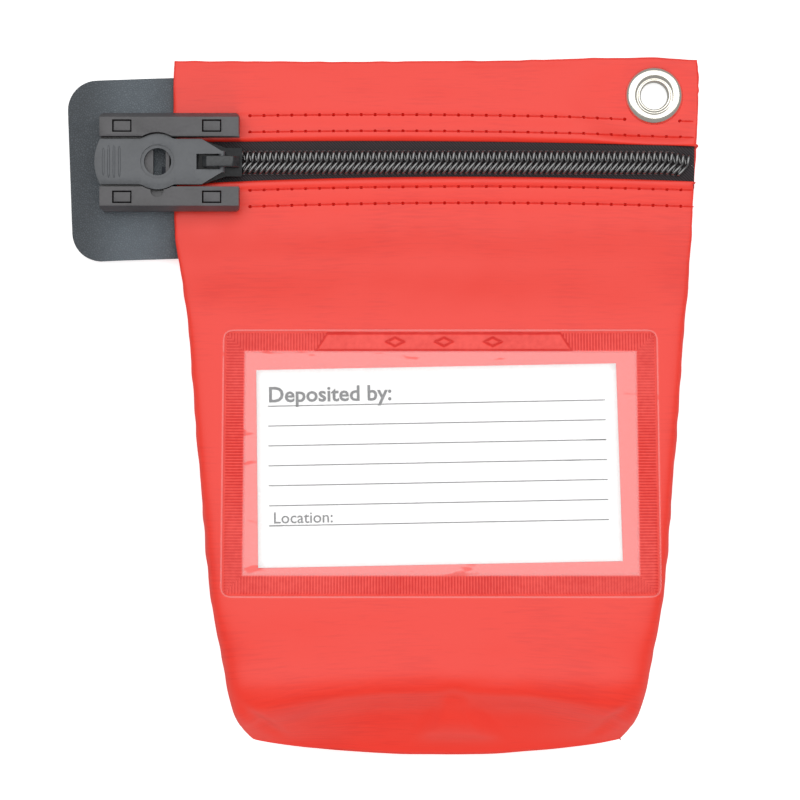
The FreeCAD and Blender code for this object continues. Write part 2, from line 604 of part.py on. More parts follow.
def pull_tab():
    """The zip pull: a flat plate with a lobe round the seal hole and a pivot bar under the bridge."""
    made = body("pull_tab")
    under = "pull_axis_z - pull_thick / 2"
    blend_x = "sqrt((pull_lobe + pull_blend) ^ 2 - (pull_half + pull_blend) ^ 2)"
    lobe_share = "pull_lobe / (pull_lobe + pull_blend)"
    lobe_x, lobe_y = f"{blend_x} * {lobe_share}", f"(pull_half + pull_blend) * {lobe_share}"
    plate = body_sketch(made, "pull_plate", "XY_Plane", under)
    draw_loop(plate, [
        ("pull_axis_x", "zip_y - pull_nose_half"), ("pull_axis_x", "zip_y + pull_nose_half"),
        ("pull_taper_x", "zip_y + pull_half"),
        (f"seal_x + {blend_x}", "zip_y + pull_half", "-pull_blend"),
        (f"seal_x + {lobe_x}", f"zip_y + {lobe_y}", "pull_lobe"),
        (f"seal_x - {lobe_x}", f"zip_y + {lobe_y}", "-pull_blend"),
        (f"seal_x - {blend_x}", "zip_y + pull_half"),
        ("pull_left", "zip_y + pull_half", "pull_end_arc"), ("pull_left", "zip_y - pull_half"),
        (f"seal_x - {blend_x}", "zip_y - pull_half", "-pull_blend"),
        (f"seal_x - {lobe_x}", f"zip_y - {lobe_y}", "pull_lobe"),
        (f"seal_x + {lobe_x}", f"zip_y - {lobe_y}", "-pull_blend"),
        (f"seal_x + {blend_x}", "zip_y - pull_half"), ("pull_taper_x", "zip_y - pull_half"),
    ])
    pad(made, plate, "pull_thick")
    slot = body_sketch(made, "pull_slot", "XY_Plane", "pull_axis_z + pull_thick")
    draw_loop(slot, rectangle("pull_slot_left", "pull_axis_x + 1", "zip_y - pull_slot_half",
                              "zip_y + pull_slot_half"))
    pocket(made, slot, "2 * pull_thick")
    nose = body_sketch(made, "pull_nose_bar", "XZ_Plane", "-zip_y - pull_nose_half")
    draw_circle(nose, "pull_axis_x", "pull_axis_z", "pull_nose")
    pad(made, nose, "2 * pull_nose_half")
    hole = body_sketch(made, "pull_seal_hole", "XY_Plane", "pull_axis_z + pull_thick")
    draw_circle(hole, "seal_x", "zip_y", "seal_bore")
    pocket(made, hole, "2 * pull_thick")
    rim = body_sketch(made, "pull_seal_rim", "XY_Plane", "pull_axis_z + pull_thick / 2")
    draw_circle(rim, "seal_x", "zip_y", "seal_rim")
    pocket(made, rim, "seal_rim_deep")
    return made


# ---------------------------------------------------------------- the lock
def lock_housing():
    """The front moulding: two lipped rails on a floor that takes the seal."""
    made = body("lock_housing")
    foot = "tab_z + tab_thick"
    block = body_sketch(made, "lock_block", "XY_Plane", foot)
    draw_loop(block, rounded_rectangle("lock_left", "lock_right", "zip_y - lock_half",
                                       "zip_y + lock_half", "lock_corner"))
    pad(made, block, "lock_top_z - tab_z - tab_thick")
    step = body_sketch(made, "lock_step", "XZ_Plane", "-zip_y - lock_half - 1")
    draw_loop(step, rectangle("lock_floor_right", "lock_right + 1", "0", "zip_thick"))
    pocket(made, step, "2 * lock_half + 2", upwards=True)
    sides = body_sketch(made, "lock_leaning_sides", "YZ_Plane", "lock_right + 1")
    for sign in ("+", "-"):
        draw_loop(sides, [(f"zip_y {sign} lock_half", "lock_shoulder_z"),
                          (f"zip_y {sign} (lock_half + 1)", "lock_shoulder_z"),
                          (f"zip_y {sign} (lock_half + 1)", "lock_top_z + 1"),
                          (f"zip_y {sign} (lock_top_half - 0.48)", "lock_top_z + 1")])
    pocket(made, sides, "lock_right - lock_left + 2")
    above = "lock_top_z + 1"
    gap = body_sketch(made, "lock_gap", "XY_Plane", above)
    draw_loop(gap, rectangle("lock_floor_right", "lock_right + 1", "zip_y - rail_gap", "zip_y + rail_gap"))
    pocket(made, gap, "lock_top_z")
    trough = body_sketch(made, "lock_trough", "XY_Plane", above)
    draw_loop(trough, rectangle("lock_left - 1", "lock_floor_right + 1", "zip_y - rail_gap",
                                "zip_y + rail_gap"))
    pocket(made, trough, "lock_top_z + 1 - lock_floor_z")
    recess = body_sketch(made, "lock_lobe_recess", "XY_Plane", above)
    draw_circle(recess, "seal_x", "zip_y", "seal_recess")
    pocket(made, recess, "lock_top_z + 1 - lock_floor_z")
    groove = body_sketch(made, "lock_groove", "XY_Plane", "lip_under_z")
    draw_loop(groove, rectangle("seal_x", "lock_right + 1", "zip_y - groove_half", "zip_y + groove_half"))
    pocket(made, groove, "lip_under_z - lock_floor_z")
    cavity = body_sketch(made, "lock_cavity", "XY_Plane", "lock_floor_z - lock_floor_thick")
    draw_loop(cavity, rectangle("seal_x - 5.5", "lock_floor_right - 0.8", "zip_y - 7", "zip_y + 7"))
    pocket(made, cavity, "lock_floor_z")
    slot = body_sketch(made, "lock_seal_slot", "XY_Plane", above)
    draw_loop(slot, rectangle("seal_x - seal_slot_wide / 2 + 0.4", "seal_x + seal_slot_wide / 2 + 0.4",
                              "zip_y - seal_slot_long / 2", "zip_y + seal_slot_long / 2"))
    pocket(made, slot, "lock_top_z")
    windows = body_sketch(made, "lock_windows", "XY_Plane", above)
    for x in ("post_left_x", "post_right_x"):
        for sign in ("+", "-"):
            y = f"zip_y {sign} post_y"
            draw_loop(windows, rectangle(
                f"{x} - post_long / 2 - post_play", f"{x} + post_long / 2 + post_play",
                f"{y} - post_wide / 2 - post_play", f"{y} + post_wide / 2 + post_play"))
    pocket(made, windows, "lock_top_z + 1")
    notch = body_sketch(made, "lock_thumb_notch", "XY_Plane", above)
    draw_circle(notch, "seal_x", "zip_y - seal_recess", "thumb_notch")
    pocket(made, notch, "1 + lock_top_z - lock_shoulder_z")
    return made


def lock_back_plate():
    """The backing plate behind the tab, forked round the zip, with four snap posts."""
    made = body("lock_back_plate")
    plate = body_sketch(made, "back_plate_outline", "XY_Plane", "back_plate_z")
    reach, fork = "(lock_half - 0.4)", "(slider_shoulder_half + 0.8)"
    draw_loop(plate, [
        ("lock_left", f"zip_y - {reach}"), ("lock_right", f"zip_y - {reach}"),
        ("lock_right", f"zip_y - {fork}"), ("lock_floor_right", f"zip_y - {fork}"),
        ("lock_floor_right", f"zip_y + {fork}"), ("lock_right", f"zip_y + {fork}"),
        ("lock_right", f"zip_y + {reach}"), ("lock_left", f"zip_y + {reach}"),
    ])
    pad(made, plate, "tab_z - back_plate_z")
    posts = body_sketch(made, "back_plate_posts", "XY_Plane", "back_plate_z + 0.2")
    for x in ("post_left_x", "post_right_x"):
        for sign in ("+", "-"):
            y = f"zip_y {sign} post_y"
            draw_loop(posts, rectangle(f"{x} - post_long / 2", f"{x} + post_long / 2",
                                       f"{y} - post_wide / 2", f"{y} + post_wide / 2"))
    pad(made, posts, "lock_top_z - 0.4 - back_plate_z - 0.2")
    return made


def seal_catch():
    """The sprung steel plate under the floor, whose jaws hold the barbs of a seal."""
    made = body("seal_catch")
    plate = body_sketch(made, "catch_plate", "XY_Plane", "lock_floor_z - lock_floor_thick - 0.6")
    draw_loop(plate, rectangle("seal_x - 5.2", "lock_floor_right - 1.1", "zip_y - 6.6", "zip_y + 6.6"))
    pad(made, plate, "0.4")
    jaws = body_sketch(made, "catch_jaws", "XY_Plane", "lock_floor_z")
    left, right = "(seal_x - seal_slot_wide / 2 + 0.4)", "(seal_x + seal_slot_wide / 2 + 0.4)"
    draw_loop(jaws, [
        (left, "zip_y - 4"), (f"{right} - 1.2", "zip_y - 4"), (f"{right} - 1.2", "zip_y - 1.2"),
        (right, "zip_y - 1.2"), (right, "zip_y + 4"), (left, "zip_y + 4"),
    ])
    pocket(made, jaws, "4")
    return made


def grip_tab():
    """The flat tab to hold while the zip is pulled, with a forked tongue sewn inside the bag."""
    made = body("grip_tab_blank")
    flap = body_sketch(made, "tab_flap", "XY_Plane")
    half, tongue = "tab_half", "tongue_half"
    seam, end, fork = "(tab_seam - tab_left)", "(tongue_right - tab_left)", "(slider_shoulder_half + 2)"
    rise = "(zip_y - tab_y)"
    draw_loop(flap, [
        ("0", f"-{half} + tab_corner", "tab_corner"), ("tab_corner", f"-{half}"),
        (seam, f"-{half}"), (seam, f"-{tongue}"), (end, f"-{tongue}"), (end, f"{rise} - {fork}"),
        (f"{seam} - 1", f"{rise} - {fork}"), (f"{seam} - 1", f"{rise} + {fork}"),
        (end, f"{rise} + {fork}"), (end, tongue), (seam, tongue), (seam, half),
        ("tab_corner", half, "tab_corner"), ("0", f"{half} - tab_corner"),
    ])
    pad(made, flap, "tab_thick")
    made.Placement = Placement(Vector(), Rotation(Vector(0, 0, 1), value("tab_lean")))
    turn = "(tab_lean * pi / 180)"
    middle = f"({seam} * {turn} / 2)"
    place(made, "tab_left", f"tab_y - {middle}", "tab_z")
    holes = post_holes("tab_post_holes", [("left", "post_left_x"), ("right", "post_right_x")], "0.4")
    return cut("grip_tab", made, holes)


# ---------------------------------------------------------------- the eyelet
def turned(name, corners):
    """A body turned about an upright axis from a half section of (radius, z) corners."""
    made = body(name)
    sketch = body_sketch(made, name + "_section", "XZ_Plane")
    draw_loop(sketch, corners)
    turn = made.newObject("PartDesign::Revolution", name + "_turn")
    turn.Profile, turn.ReferenceAxis, turn.Angle = sketch, (sketch, ["V_Axis"]), 360
    made.Tip = turn
    return place(made, "eyelet_x", "eyelet_y", "0")


def eyelet_front():
    """The flanged half: a domed ring and the barrel that goes through both layers."""
    seat = "washer_thick + 2 * vinyl"
    return turned("eyelet_front", [
        ("eyelet_bore", "0"), ("eyelet_barrel", "0"), ("eyelet_barrel", seat),
        ("eyelet_flange", seat), ("eyelet_flange", f"{seat} + 0.3", "2.2"),
        ("eyelet_flange - 1.8", f"{seat} + eyelet_dome"),
        ("eyelet_bore + 0.8", f"{seat} + eyelet_dome - 0.1"),
        ("eyelet_bore", f"{seat} + eyelet_dome - 0.5"),
    ])


def eyelet_washer():
    """The plain ring behind, which the barrel is set into."""
    return turned("eyelet_washer", [
        ("eyelet_barrel", "0"), ("washer_flange - 0.3", "0"), ("washer_flange", "0.3"),
        ("washer_flange", "washer_thick"), ("eyelet_barrel", "washer_thick"),
    ])


# ---------------------------------------------------------------- the label window
def on_label_panel(thing, x, y, lift, spin=0):
    """Lays a thing made about the origin on the sloping label panel: x and y along the cloth,
    turned by spin degrees about the panel's middle."""
    lean = math.atan(value("(hip_thick - brow_thick) / (brow_y - hip_y)"))
    turn = Rotation(Vector(1, 0, 0), -math.degrees(lean)) * Rotation(Vector(0, 0, 1), spin)
    height = value("brow_thick + (brow_y - window_y) * (hip_thick - brow_thick) / (brow_y - hip_y)")
    corner = Vector(value("window_x"), value("window_y"), height)
    thing.Placement = Placement(corner + turn.multVec(Vector(value(x), value(y), value(lift))), turn)
    return thing


def label_window():
    """The welded frame, the clear film inside it, and the card behind the film."""
    frame = body("window_weld")
    outline = body_sketch(frame, "weld_outline", "XY_Plane")
    draw_loop(outline, rectangle("-window_wide / 2", "window_wide / 2", "-window_high / 2",
                                 "window_high / 2"))
    draw_loop(outline, rectangle("-window_wide / 2 + weld_wide", "window_wide / 2 - weld_wide",
                                 "-window_high / 2 + weld_wide", "window_high / 2 - weld_wide"))
    pad(frame, outline, "weld_thick")
    corners = [(a * value("window_wide / 2"), b * value("window_high / 2"))
               for a in (-1, 1) for b in (-1, 1)]
    fillet_edges(frame, "weld_corner_rounding", "weld_corner", lambda e: rises_between(e, corners))
    on_label_panel(frame, "0", "0", "0")
    film = doc.addObject("Part::Box", "window_film")
    bind(film, Length="window_wide - 2 * weld_wide", Width="window_high - 2 * weld_wide",
         Height="film_thick")
    on_label_panel(film, "-window_wide / 2 + weld_wide", "-window_high / 2 + weld_wide",
                   "weld_thick - film_thick")
    card = doc.addObject("Part::Box", "insert_card")
    bind(card, Length="card_wide", Width="card_high", Height="card_thick")
    on_label_panel(card, "card_x - card_wide / 2", "-card_high / 2", "card_lift", value("card_spin"))
    return [frame, film, card]


# ---------------------------------------------------------------- make, check and write
made = cloth_panels() + zip_tapes() + zip_coils() + [zip_top_stops()] + stitch_rows()
made += [slider_body(), slider_bridge(), pull_tab()]
made += [lock_housing(), lock_back_plate(), seal_catch(), grip_tab()]
made += [eyelet_front(), eyelet_washer()] + label_window()
doc.recompute()

for thing in doc.Objects:
    if {"Invalid", "Error"} & set(thing.State):
        raise SystemExit(f"{thing.Name} failed: {thing.State}")
os.makedirs("parts", exist_ok=True)
for thing in made:
    shape = thing.Shape
    if shape.isNull() or not shape.isValid() or not shape.Solids:
        raise SystemExit(f"{thing.Label} has no valid solid")
    shape.exportStep(f"parts/{thing.Label}.step")
    box_now = shape.BoundBox
    print(f"{thing.Label:22s} {len(shape.Solids):3d} solid(s) {shape.Volume:9.1f} mm3  "
          f"x {box_now.XMin:7.1f}..{box_now.XMax:6.1f}  y {box_now.YMin:7.1f}..{box_now.YMax:6.1f}  "
          f"z {box_now.ZMin:5.2f}..{box_now.ZMax:5.2f}")
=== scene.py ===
import math
import bmesh
import bpy
import numpy as np
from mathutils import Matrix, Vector


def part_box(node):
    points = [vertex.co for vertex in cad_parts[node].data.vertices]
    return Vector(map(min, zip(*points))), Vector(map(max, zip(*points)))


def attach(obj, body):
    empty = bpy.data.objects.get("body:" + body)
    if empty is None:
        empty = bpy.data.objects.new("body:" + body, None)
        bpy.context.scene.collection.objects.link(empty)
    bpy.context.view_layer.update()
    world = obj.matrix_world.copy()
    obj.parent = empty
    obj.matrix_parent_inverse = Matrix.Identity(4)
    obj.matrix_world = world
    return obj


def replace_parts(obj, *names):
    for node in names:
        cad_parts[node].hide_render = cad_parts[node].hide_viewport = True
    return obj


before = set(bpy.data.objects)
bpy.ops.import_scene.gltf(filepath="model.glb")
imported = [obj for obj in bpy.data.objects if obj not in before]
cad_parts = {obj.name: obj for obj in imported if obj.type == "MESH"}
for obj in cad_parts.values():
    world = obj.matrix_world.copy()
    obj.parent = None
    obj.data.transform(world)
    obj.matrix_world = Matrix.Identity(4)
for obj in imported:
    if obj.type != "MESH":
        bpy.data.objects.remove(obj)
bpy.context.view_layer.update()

PI = math.pi


def box_mm(node):
    """Lowest and highest corner of a CAD node, in millimetres."""
    low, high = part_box(node)
    return np.array(low) * 1000, np.array(high) * 1000


BAND_LOW, BAND_HIGH = box_mm("top_band")
SLIDER_LOW, SLIDER_HIGH = box_mm("slider_body")
COIL_LOW, COIL_HIGH = box_mm("zip_coil_upper")
TAPE_LOW, TAPE_HIGH = box_mm("zip_tape_upper")
EYELET_LOW, EYELET_HIGH = box_mm("eyelet_front")
WELD_LOW, WELD_HIGH = box_mm("window_weld")
CARD_LOW, CARD_HIGH = box_mm("insert_card")
GRIP_LOW, GRIP_HIGH = box_mm("grip_tab")
PULL_LOW, PULL_HIGH = box_mm("pull_tab")

VINYL = 0.7  # the coated cloth
ZIP_Y = (SLIDER_LOW[1] + SLIDER_HIGH[1]) / 2  # centre line of the zip
SLOT_LOW, SLOT_HIGH, HEM_Y = box_mm("front_panel")[1][1], BAND_LOW[1], BAND_HIGH[1]
EYELET = (EYELET_LOW + EYELET_HIGH)[:2] / 2
WINDOW = (WELD_LOW + WELD_HIGH)[:2] / 2 - [0, 0.85]  # the weld sits a little low on its solid


# ------------------ arithmetic on whole arrays
def ease(x, start, end):
    """0 before start and 1 after end, with a smooth S between them."""
    t = np.clip((np.asarray(x, float) - start) / (end - start), 0, 1)
    return t * t * (3 - 2 * t)


def hump(x, centre, reach):
    """A bell of height 1 at the centre that has died away by about twice its reach."""
    return np.exp(-((np.asarray(x, float) - centre) / reach) ** 2)


def unit(v):
    """Vectors made 1 long."""
    return v / np.maximum(np.linalg.norm(v, axis=-1, keepdims=True), 1e-12)


def waves(x, y, seed, shortest, longest, count=14):
    """Soft unevenness from -1 to 1: a sum of sine waves with seeded directions, lengths and phases."""
    dice = np.random.default_rng(seed)
    angle, phase = dice.uniform(0, PI, count), dice.uniform(0, 2 * PI, count)
    length = np.exp(dice.uniform(math.log(shortest), math.log(longest), count))
    total = sum(np.sin(2 * PI * (x * math.cos(a) + y * math.sin(a)) / n + p)
                for a, n, p in zip(angle, length, phase))
    return total / math.sqrt(2 * count)


def smooth_through(knots, stations, at):
    """Cubic curves through the rows of stations, read at the places given by the knots' measure."""
    slopes = np.gradient(stations, knots, axis=0)
    i = np.clip(np.searchsorted(knots, at, side="right") - 1, 0, len(knots) - 2)
    gap = (knots[i + 1] - knots[i])[:, None]
    f = ((at - knots[i]) / gap[:, 0])[:, None]
    return ((1 + 2 * f) * (1 - f) ** 2 * stations[i] + f * (1 - f) ** 2 * gap * slopes[i]
            + f ** 2 * (3 - 2 * f) * stations[i + 1] + f ** 2 * (f - 1) * gap * slopes[i + 1])


def normals_of(points):
    """The outward unit normals of a grid whose rows run down the bag and columns to the right."""
    return unit(np.cross(np.gradient(points, axis=0), np.gradient(points, axis=1)))


# ------------------ meshes
def grid_faces(rows, columns, wrap_rows=False, wrap_columns=False):
    """The quads of a grid, as indices into its points laid row after row."""
    i = np.arange(rows if wrap_rows else rows - 1)[:, None]
    j = np.arange(columns if wrap_columns else columns - 1)[None, :]
    below, right = (i + 1) % rows, (j + 1) % columns
    corners = [i * columns + j, below * columns + j, below * columns + right, i * columns + right]
    return np.stack(corners, axis=-1).reshape(-1, 4)


def piece(name, points, faces, finish, slot, body="bag", uv=None, recalculate=False):
    """A mesh of points in millimetres, riding on a body and wearing one finish."""
    mesh = bpy.data.meshes.new(name)
    faces = faces.tolist() if isinstance(faces, np.ndarray) else faces
    mesh.from_pydata((np.asarray(points, float).reshape(-1, 3) / 1000).tolist(), [], faces)
    if recalculate:
        work = bmesh.new()
        work.from_mesh(mesh)
        bmesh.ops.remove_doubles(work, verts=work.verts, dist=1e-7)
        bmesh.ops.recalc_face_normals(work, faces=work.faces)
        work.to_mesh(mesh)
        work.free()
    elif uv is not None:
        layer = mesh.uv_layers.new(name="cloth")
        corner = np.zeros(len(mesh.loops), np.int32)
        mesh.loops.foreach_get("vertex_index", corner)
        layer.data.foreach_set("uv", np.asarray(uv, float).reshape(-1, 2)[corner].ravel())
    mesh.polygons.foreach_set("use_smooth", np.ones(len(mesh.polygons), bool))
    mesh.update()
    made = bpy.data.objects.new(name, mesh)
    bpy.context.scene.collection.objects.link(made)
    made.data.materials.append(finish)
    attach(made, body)
    return made


def thicken(made, thickness):
    """Gives a sheet its thickness, inwards from its outer face."""
    wall = made.modifiers.new("wall", "SOLIDIFY")
    wall.thickness, wall.offset, wall.use_even_offset = thickness / 1000, -1, False
    return made


def tubes(paths, half_wide, half_high, sides=6):
    """Closed tubes along many paths at once: (paths, points, 3) in, points and faces out.

    Each ring is an ellipse square to its path, half_wide to the side and half_high upwards."""
    ahead = unit(np.gradient(paths, axis=1))
    side = unit(np.cross(ahead, np.array([0.0, 0.0, 1.0])))
    over = np.cross(side, ahead)
    turn = np.arange(sides) * 2 * PI / sides
    wide, high = np.broadcast_to(half_wide, paths.shape[:2]), np.broadcast_to(half_high, paths.shape[:2])
    ring = (side[..., None, :] * (np.cos(turn)[:, None] * wide[..., None, None])
            + over[..., None, :] * (np.sin(turn)[:, None] * high[..., None, None]))
    points = paths[..., None, :] + ring
    count, length = paths.shape[:2]
    one = grid_faces(length, sides, wrap_columns=True)
    starts = np.arange(count)[:, None, None] * length * sides
    quads = (one[None] + starts).reshape(-1, 4).tolist()
    first = (np.arange(sides)[None] + starts[:, :, 0]).tolist()
    last = (np.arange(sides)[None, ::-1] + (length - 1) * sides + starts[:, :, 0]).tolist()
    return points.reshape(-1, 3), quads + first + last


def turned(profile, centre, sides=96):
    """A closed profile of (radius, height) turned about the upright axis through the centre."""
    profile = np.array(profile, float)
    turn = np.arange(sides) * 2 * PI / sides
    r, z = profile[:, :1], np.broadcast_to(profile[:, 1:], (len(profile), sides))
    points = np.stack([centre[0] + r * np.cos(turn), centre[1] + r * np.sin(turn), z], axis=-1)
    return points, grid_faces(len(profile), sides, True, True)


def moulded(node, width, finish, body, angle=28):
    """A hard part: the CAD shape with its flat faces made whole and its edges rounded by width."""
    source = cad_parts[node].data
    mesh = source.copy()
    mesh.name = node + "_moulding"
    work = bmesh.new()
    work.from_mesh(mesh)
    bmesh.ops.remove_doubles(work, verts=work.verts, dist=2e-6)
    bmesh.ops.dissolve_limit(work, angle_limit=math.radians(1.5), verts=work.verts, edges=work.edges)
    work.to_mesh(mesh)
    work.free()
    mesh.polygons.foreach_set("use_smooth", np.ones(len(mesh.polygons), bool))
    made = bpy.data.objects.new(node + "_moulded", mesh)
    bpy.context.scene.collection.objects.link(made)
    mesh.materials.clear()
    mesh.materials.append(finish)
    rounding = made.modifiers.new("rounded_edges", "BEVEL")
    rounding.width, rounding.segments = width / 1000, 3
    rounding.limit_method, rounding.angle_limit = "ANGLE", math.radians(angle)
    rounding.harden_normals = True
    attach(made, body)
    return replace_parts(made, node)


# ------------------ finishes
def linear(code):
    """An sRGB hex colour as linear RGBA."""
    parts = [int(code[i:i + 2], 16) / 255 for i in (0, 2, 4)]
    return tuple(v / 12.92 if v <= 0.04045 else ((v + 0.055) / 1.055) ** 2.4 for v in parts) + (1.0,)


def add(tree, kind, inputs=(), **settings):
    """Adds a node with its settings, and fills or links its inputs, given by name or number."""
    node = tree.nodes.new("ShaderNode" + kind)
    for key, value in settings.items():
        setattr(node, key, value)
    for key, value in dict(inputs).items():
        if isinstance(value, bpy.types.NodeSocket):
            tree.links.new(value, node.inputs[key])
        else:
            node.inputs[key].default_value = value
    return node


def finish_named(name, sockets):
    """A material with its shader's own sockets set, and its node tree and shader to build on."""
    made = bpy.data.materials.new(name)
    made.use_nodes = True
    shader = made.node_tree.nodes["Principled BSDF"]
    for key, value in sockets.items():
        shader.inputs[key].default_value = value
    return made, made.node_tree, shader


def millimetres(tree, source, stretch=(1, 1, 1), turn=0.0):
    """Object or UV coordinates measured in units of stretch millimetres."""
    unit_size = 1 if source == "UV" else 1000
    place = add(tree, "TexCoord").outputs[source]
    scale = tuple(unit_size / s for s in stretch)
    return add(tree, "Mapping", {"Vector": place, "Rotation": (0, 0, turn), "Scale": scale}).outputs[0]


def noise(tree, size, detail=2.0, stretch=(1, 1, 1), turn=0.0):
    """Soft noise over the object, whose lumps are size times stretch millimetres."""
    place = millimetres(tree, "Object", stretch, turn)
    return add(tree, "TexNoise", {"Vector": place, "Scale": 1 / size, "Detail": detail}).outputs[0]


def total(tree, one, other):
    """The sum of two values."""
    return add(tree, "Math", {0: one, 1: other}, operation="ADD").outputs[0]


def spread(tree, value, start, end, low, high, **settings):
    """A value that runs from start to end, made to run from low to high."""
    return add(tree, "MapRange", {"Value": value, "From Min": start, "From Max": end,
                                  "To Min": low, "To Max": high}, **settings).outputs[0]


def dyed(tree, shader, pattern, dark, light, low=0.3, high=0.7):
    """Colours the shader by a pattern: dark where that is low, light where it is high."""
    ramp = add(tree, "ValToRGB", {"Fac": pattern})
    for stop, place, colour in zip(ramp.color_ramp.elements, (low, high), (dark, light)):
        stop.position, stop.color = place, linear(colour)
    tree.links.new(ramp.outputs[0], shader.inputs["Base Color"])


def bumped(tree, shader, pattern, depth, below=None):
    """Lets a pattern raise the surface by depth millimetres, over any bump given as below."""
    inputs = {"Height": pattern, "Strength": 1.0, "Distance": depth / 1000}
    if below is not None:
        inputs["Normal"] = below
    normal = add(tree, "Bump", inputs).outputs[0]
    tree.links.new(normal, shader.inputs["Normal"])
    return normal


def flecked(name, sockets, dark, light, size, depth, detail=2.0):
    """A finish whose two close shades mix in patches of one size, which raise it by depth too."""
    made, tree, shader = finish_named(name, sockets)
    fleck = noise(tree, size, detail)
    dyed(tree, shader, fleck, dark, light)
    bumped(tree, shader, fleck, depth)
    return made


def coated_cloth(name, dark, light):
    """Polyester canvas with a calendered vinyl face: a soft satin sheen over a faint weave."""
    weave_depth = 0.016
    made, tree, shader = finish_named(name, {
        "Roughness": 0.44, "IOR": 1.5, "Specular IOR Level": 0.62, "Coat Weight": 0.15,
        "Coat Roughness": 0.4})
    # The dye and the coat vary over a few fingers' width, and along single threads.
    patches = noise(tree, 26)
    threads = add(tree, "TexNoise", {"Vector": millimetres(tree, "UV", (9, 0.75, 1)), "Scale": 1.0,
                                     "Detail": 2.0, "Roughness": 0.6}).outputs[0]
    dyed(tree, shader, total(tree, patches, threads), dark, light, 0.7, 1.3)
    # Threads lie 0.4 mm apart, drawn 0.5 mm apart so that they show. The bands of a wave are
    # 0.314 mm apart at scale 1.
    weft, warp = (add(tree, "TexWave", {"Vector": millimetres(tree, "UV"), "Scale": 0.625,
                                        "Distortion": 0.6, "Detail": 1.0, "Detail Scale": 0.4},
                      wave_type="BANDS", bands_direction=way).outputs[1] for way in "YX")
    cross = add(tree, "Math", {0: weft, 1: warp}, operation="MULTIPLY").outputs[0]
    bumped(tree, shader, threads, weave_depth, bumped(tree, shader, cross, weave_depth * 0.4))
    return made


def welded_vinyl():
    """Vinyl film welded into the cloth by a ribbed tool: glassy crowns, and painted shade that makes the
    grooves deeper red.
    """
    made, tree, shader = finish_named("welded_vinyl", {
        "Roughness": 0.38, "IOR": 1.5, "Specular IOR Level": 0.4})
    # The ribs' attribute is painted shade: low in the grooves and on the plaque's outline.
    height = add(tree, "Attribute", attribute_name="rib_painted_shade").outputs["Fac"]
    mottle = noise(tree, 1.6, 3.0)
    worn = total(tree, mottle, noise(tree, 1, 2.0, (14, 14, 14)))
    painted_shade_and_mottle = total(tree, height, spread(tree, worn, 0.7, 1.3, -0.22, 0.22))
    dyed(tree, shader, painted_shade_and_mottle, "d8231c", "f65148", 0.1, 0.95)
    bumped(tree, shader, mottle, 0.04)
    return made


def clear_film():
    """Plasticised vinyl film over the card: a white haze, partly the film's own milkiness and partly
    painted reflection, that clears where it wets the cloth.
    """
    made, tree, shader = finish_named("clear_vinyl_film", {
        "Base Color": (1, 1, 1, 1), "Roughness": 0.25, "IOR": 1.45, "Specular IOR Level": 0.2})
    # Wet patches are thin and lie along the card's edges; the haze between them is even.
    wet = noise(tree, 1, 2.0, (13, 4, 9))
    # The white seen through the film's alpha is partly the film's milkiness and partly painted reflection.
    tree.links.new(spread(tree, wet, 0.66, 0.70, 0.14, 0.05), shader.inputs["Alpha"])
    bumped(tree, shader, noise(tree, 1, 1.0, (22, 14, 12)), 0.05)
    return made


def woven_tape():
    """Knitted polyester zip tape: matt, with a fine herringbone of loops 0.6 mm apart."""
    made, tree, shader = finish_named("zip_tape_weave", {
        "Roughness": 0.85, "IOR": 1.5, "Sheen Weight": 0.25, "Sheen Roughness": 0.4})
    loops = add(tree, "TexWave", {"Vector": millimetres(tree, "Object"), "Scale": 1 / 0.7 / 2,
                                  "Distortion": 1.2, "Detail": 1.0, "Detail Scale": 1.0},
                wave_type="BANDS", bands_direction="DIAGONAL").outputs[1]
    dyed(tree, shader, loops, "211d20", "3a3437", 0.1, 0.9)
    bumped(tree, shader, loops, 0.12)
    return made


def coil_nylon():
    """Drawn nylon monofilament, dyed near black: smooth with a soft highlight along each turn."""
    return flecked("coil_monofilament", {
        "Roughness": 0.25, "IOR": 1.8, "Specular IOR Level": 1.0, "Coat Weight": 1.0,
        "Coat Roughness": 0.15, "Coat IOR": 1.8}, "0f0e0f", "1a181a", 1.5, 0.02)


def moulded_plastic(name, dark, light, roughness):
    """Moulded nylon from a spark-eroded tool: a fine matt grain that shines a little on the edges."""
    made, tree, shader = finish_named(name, {"IOR": 1.5, "Specular IOR Level": 0.75})
    flow, grit = noise(tree, 9, 3.0), noise(tree, 0.7, 3.0)
    dyed(tree, shader, flow, dark, light)
    rough = spread(tree, grit, 0.3, 0.7, roughness - 0.07, roughness + 0.07)
    tree.links.new(rough, shader.inputs["Roughness"])
    bumped(tree, shader, grit, 0.03)
    return made


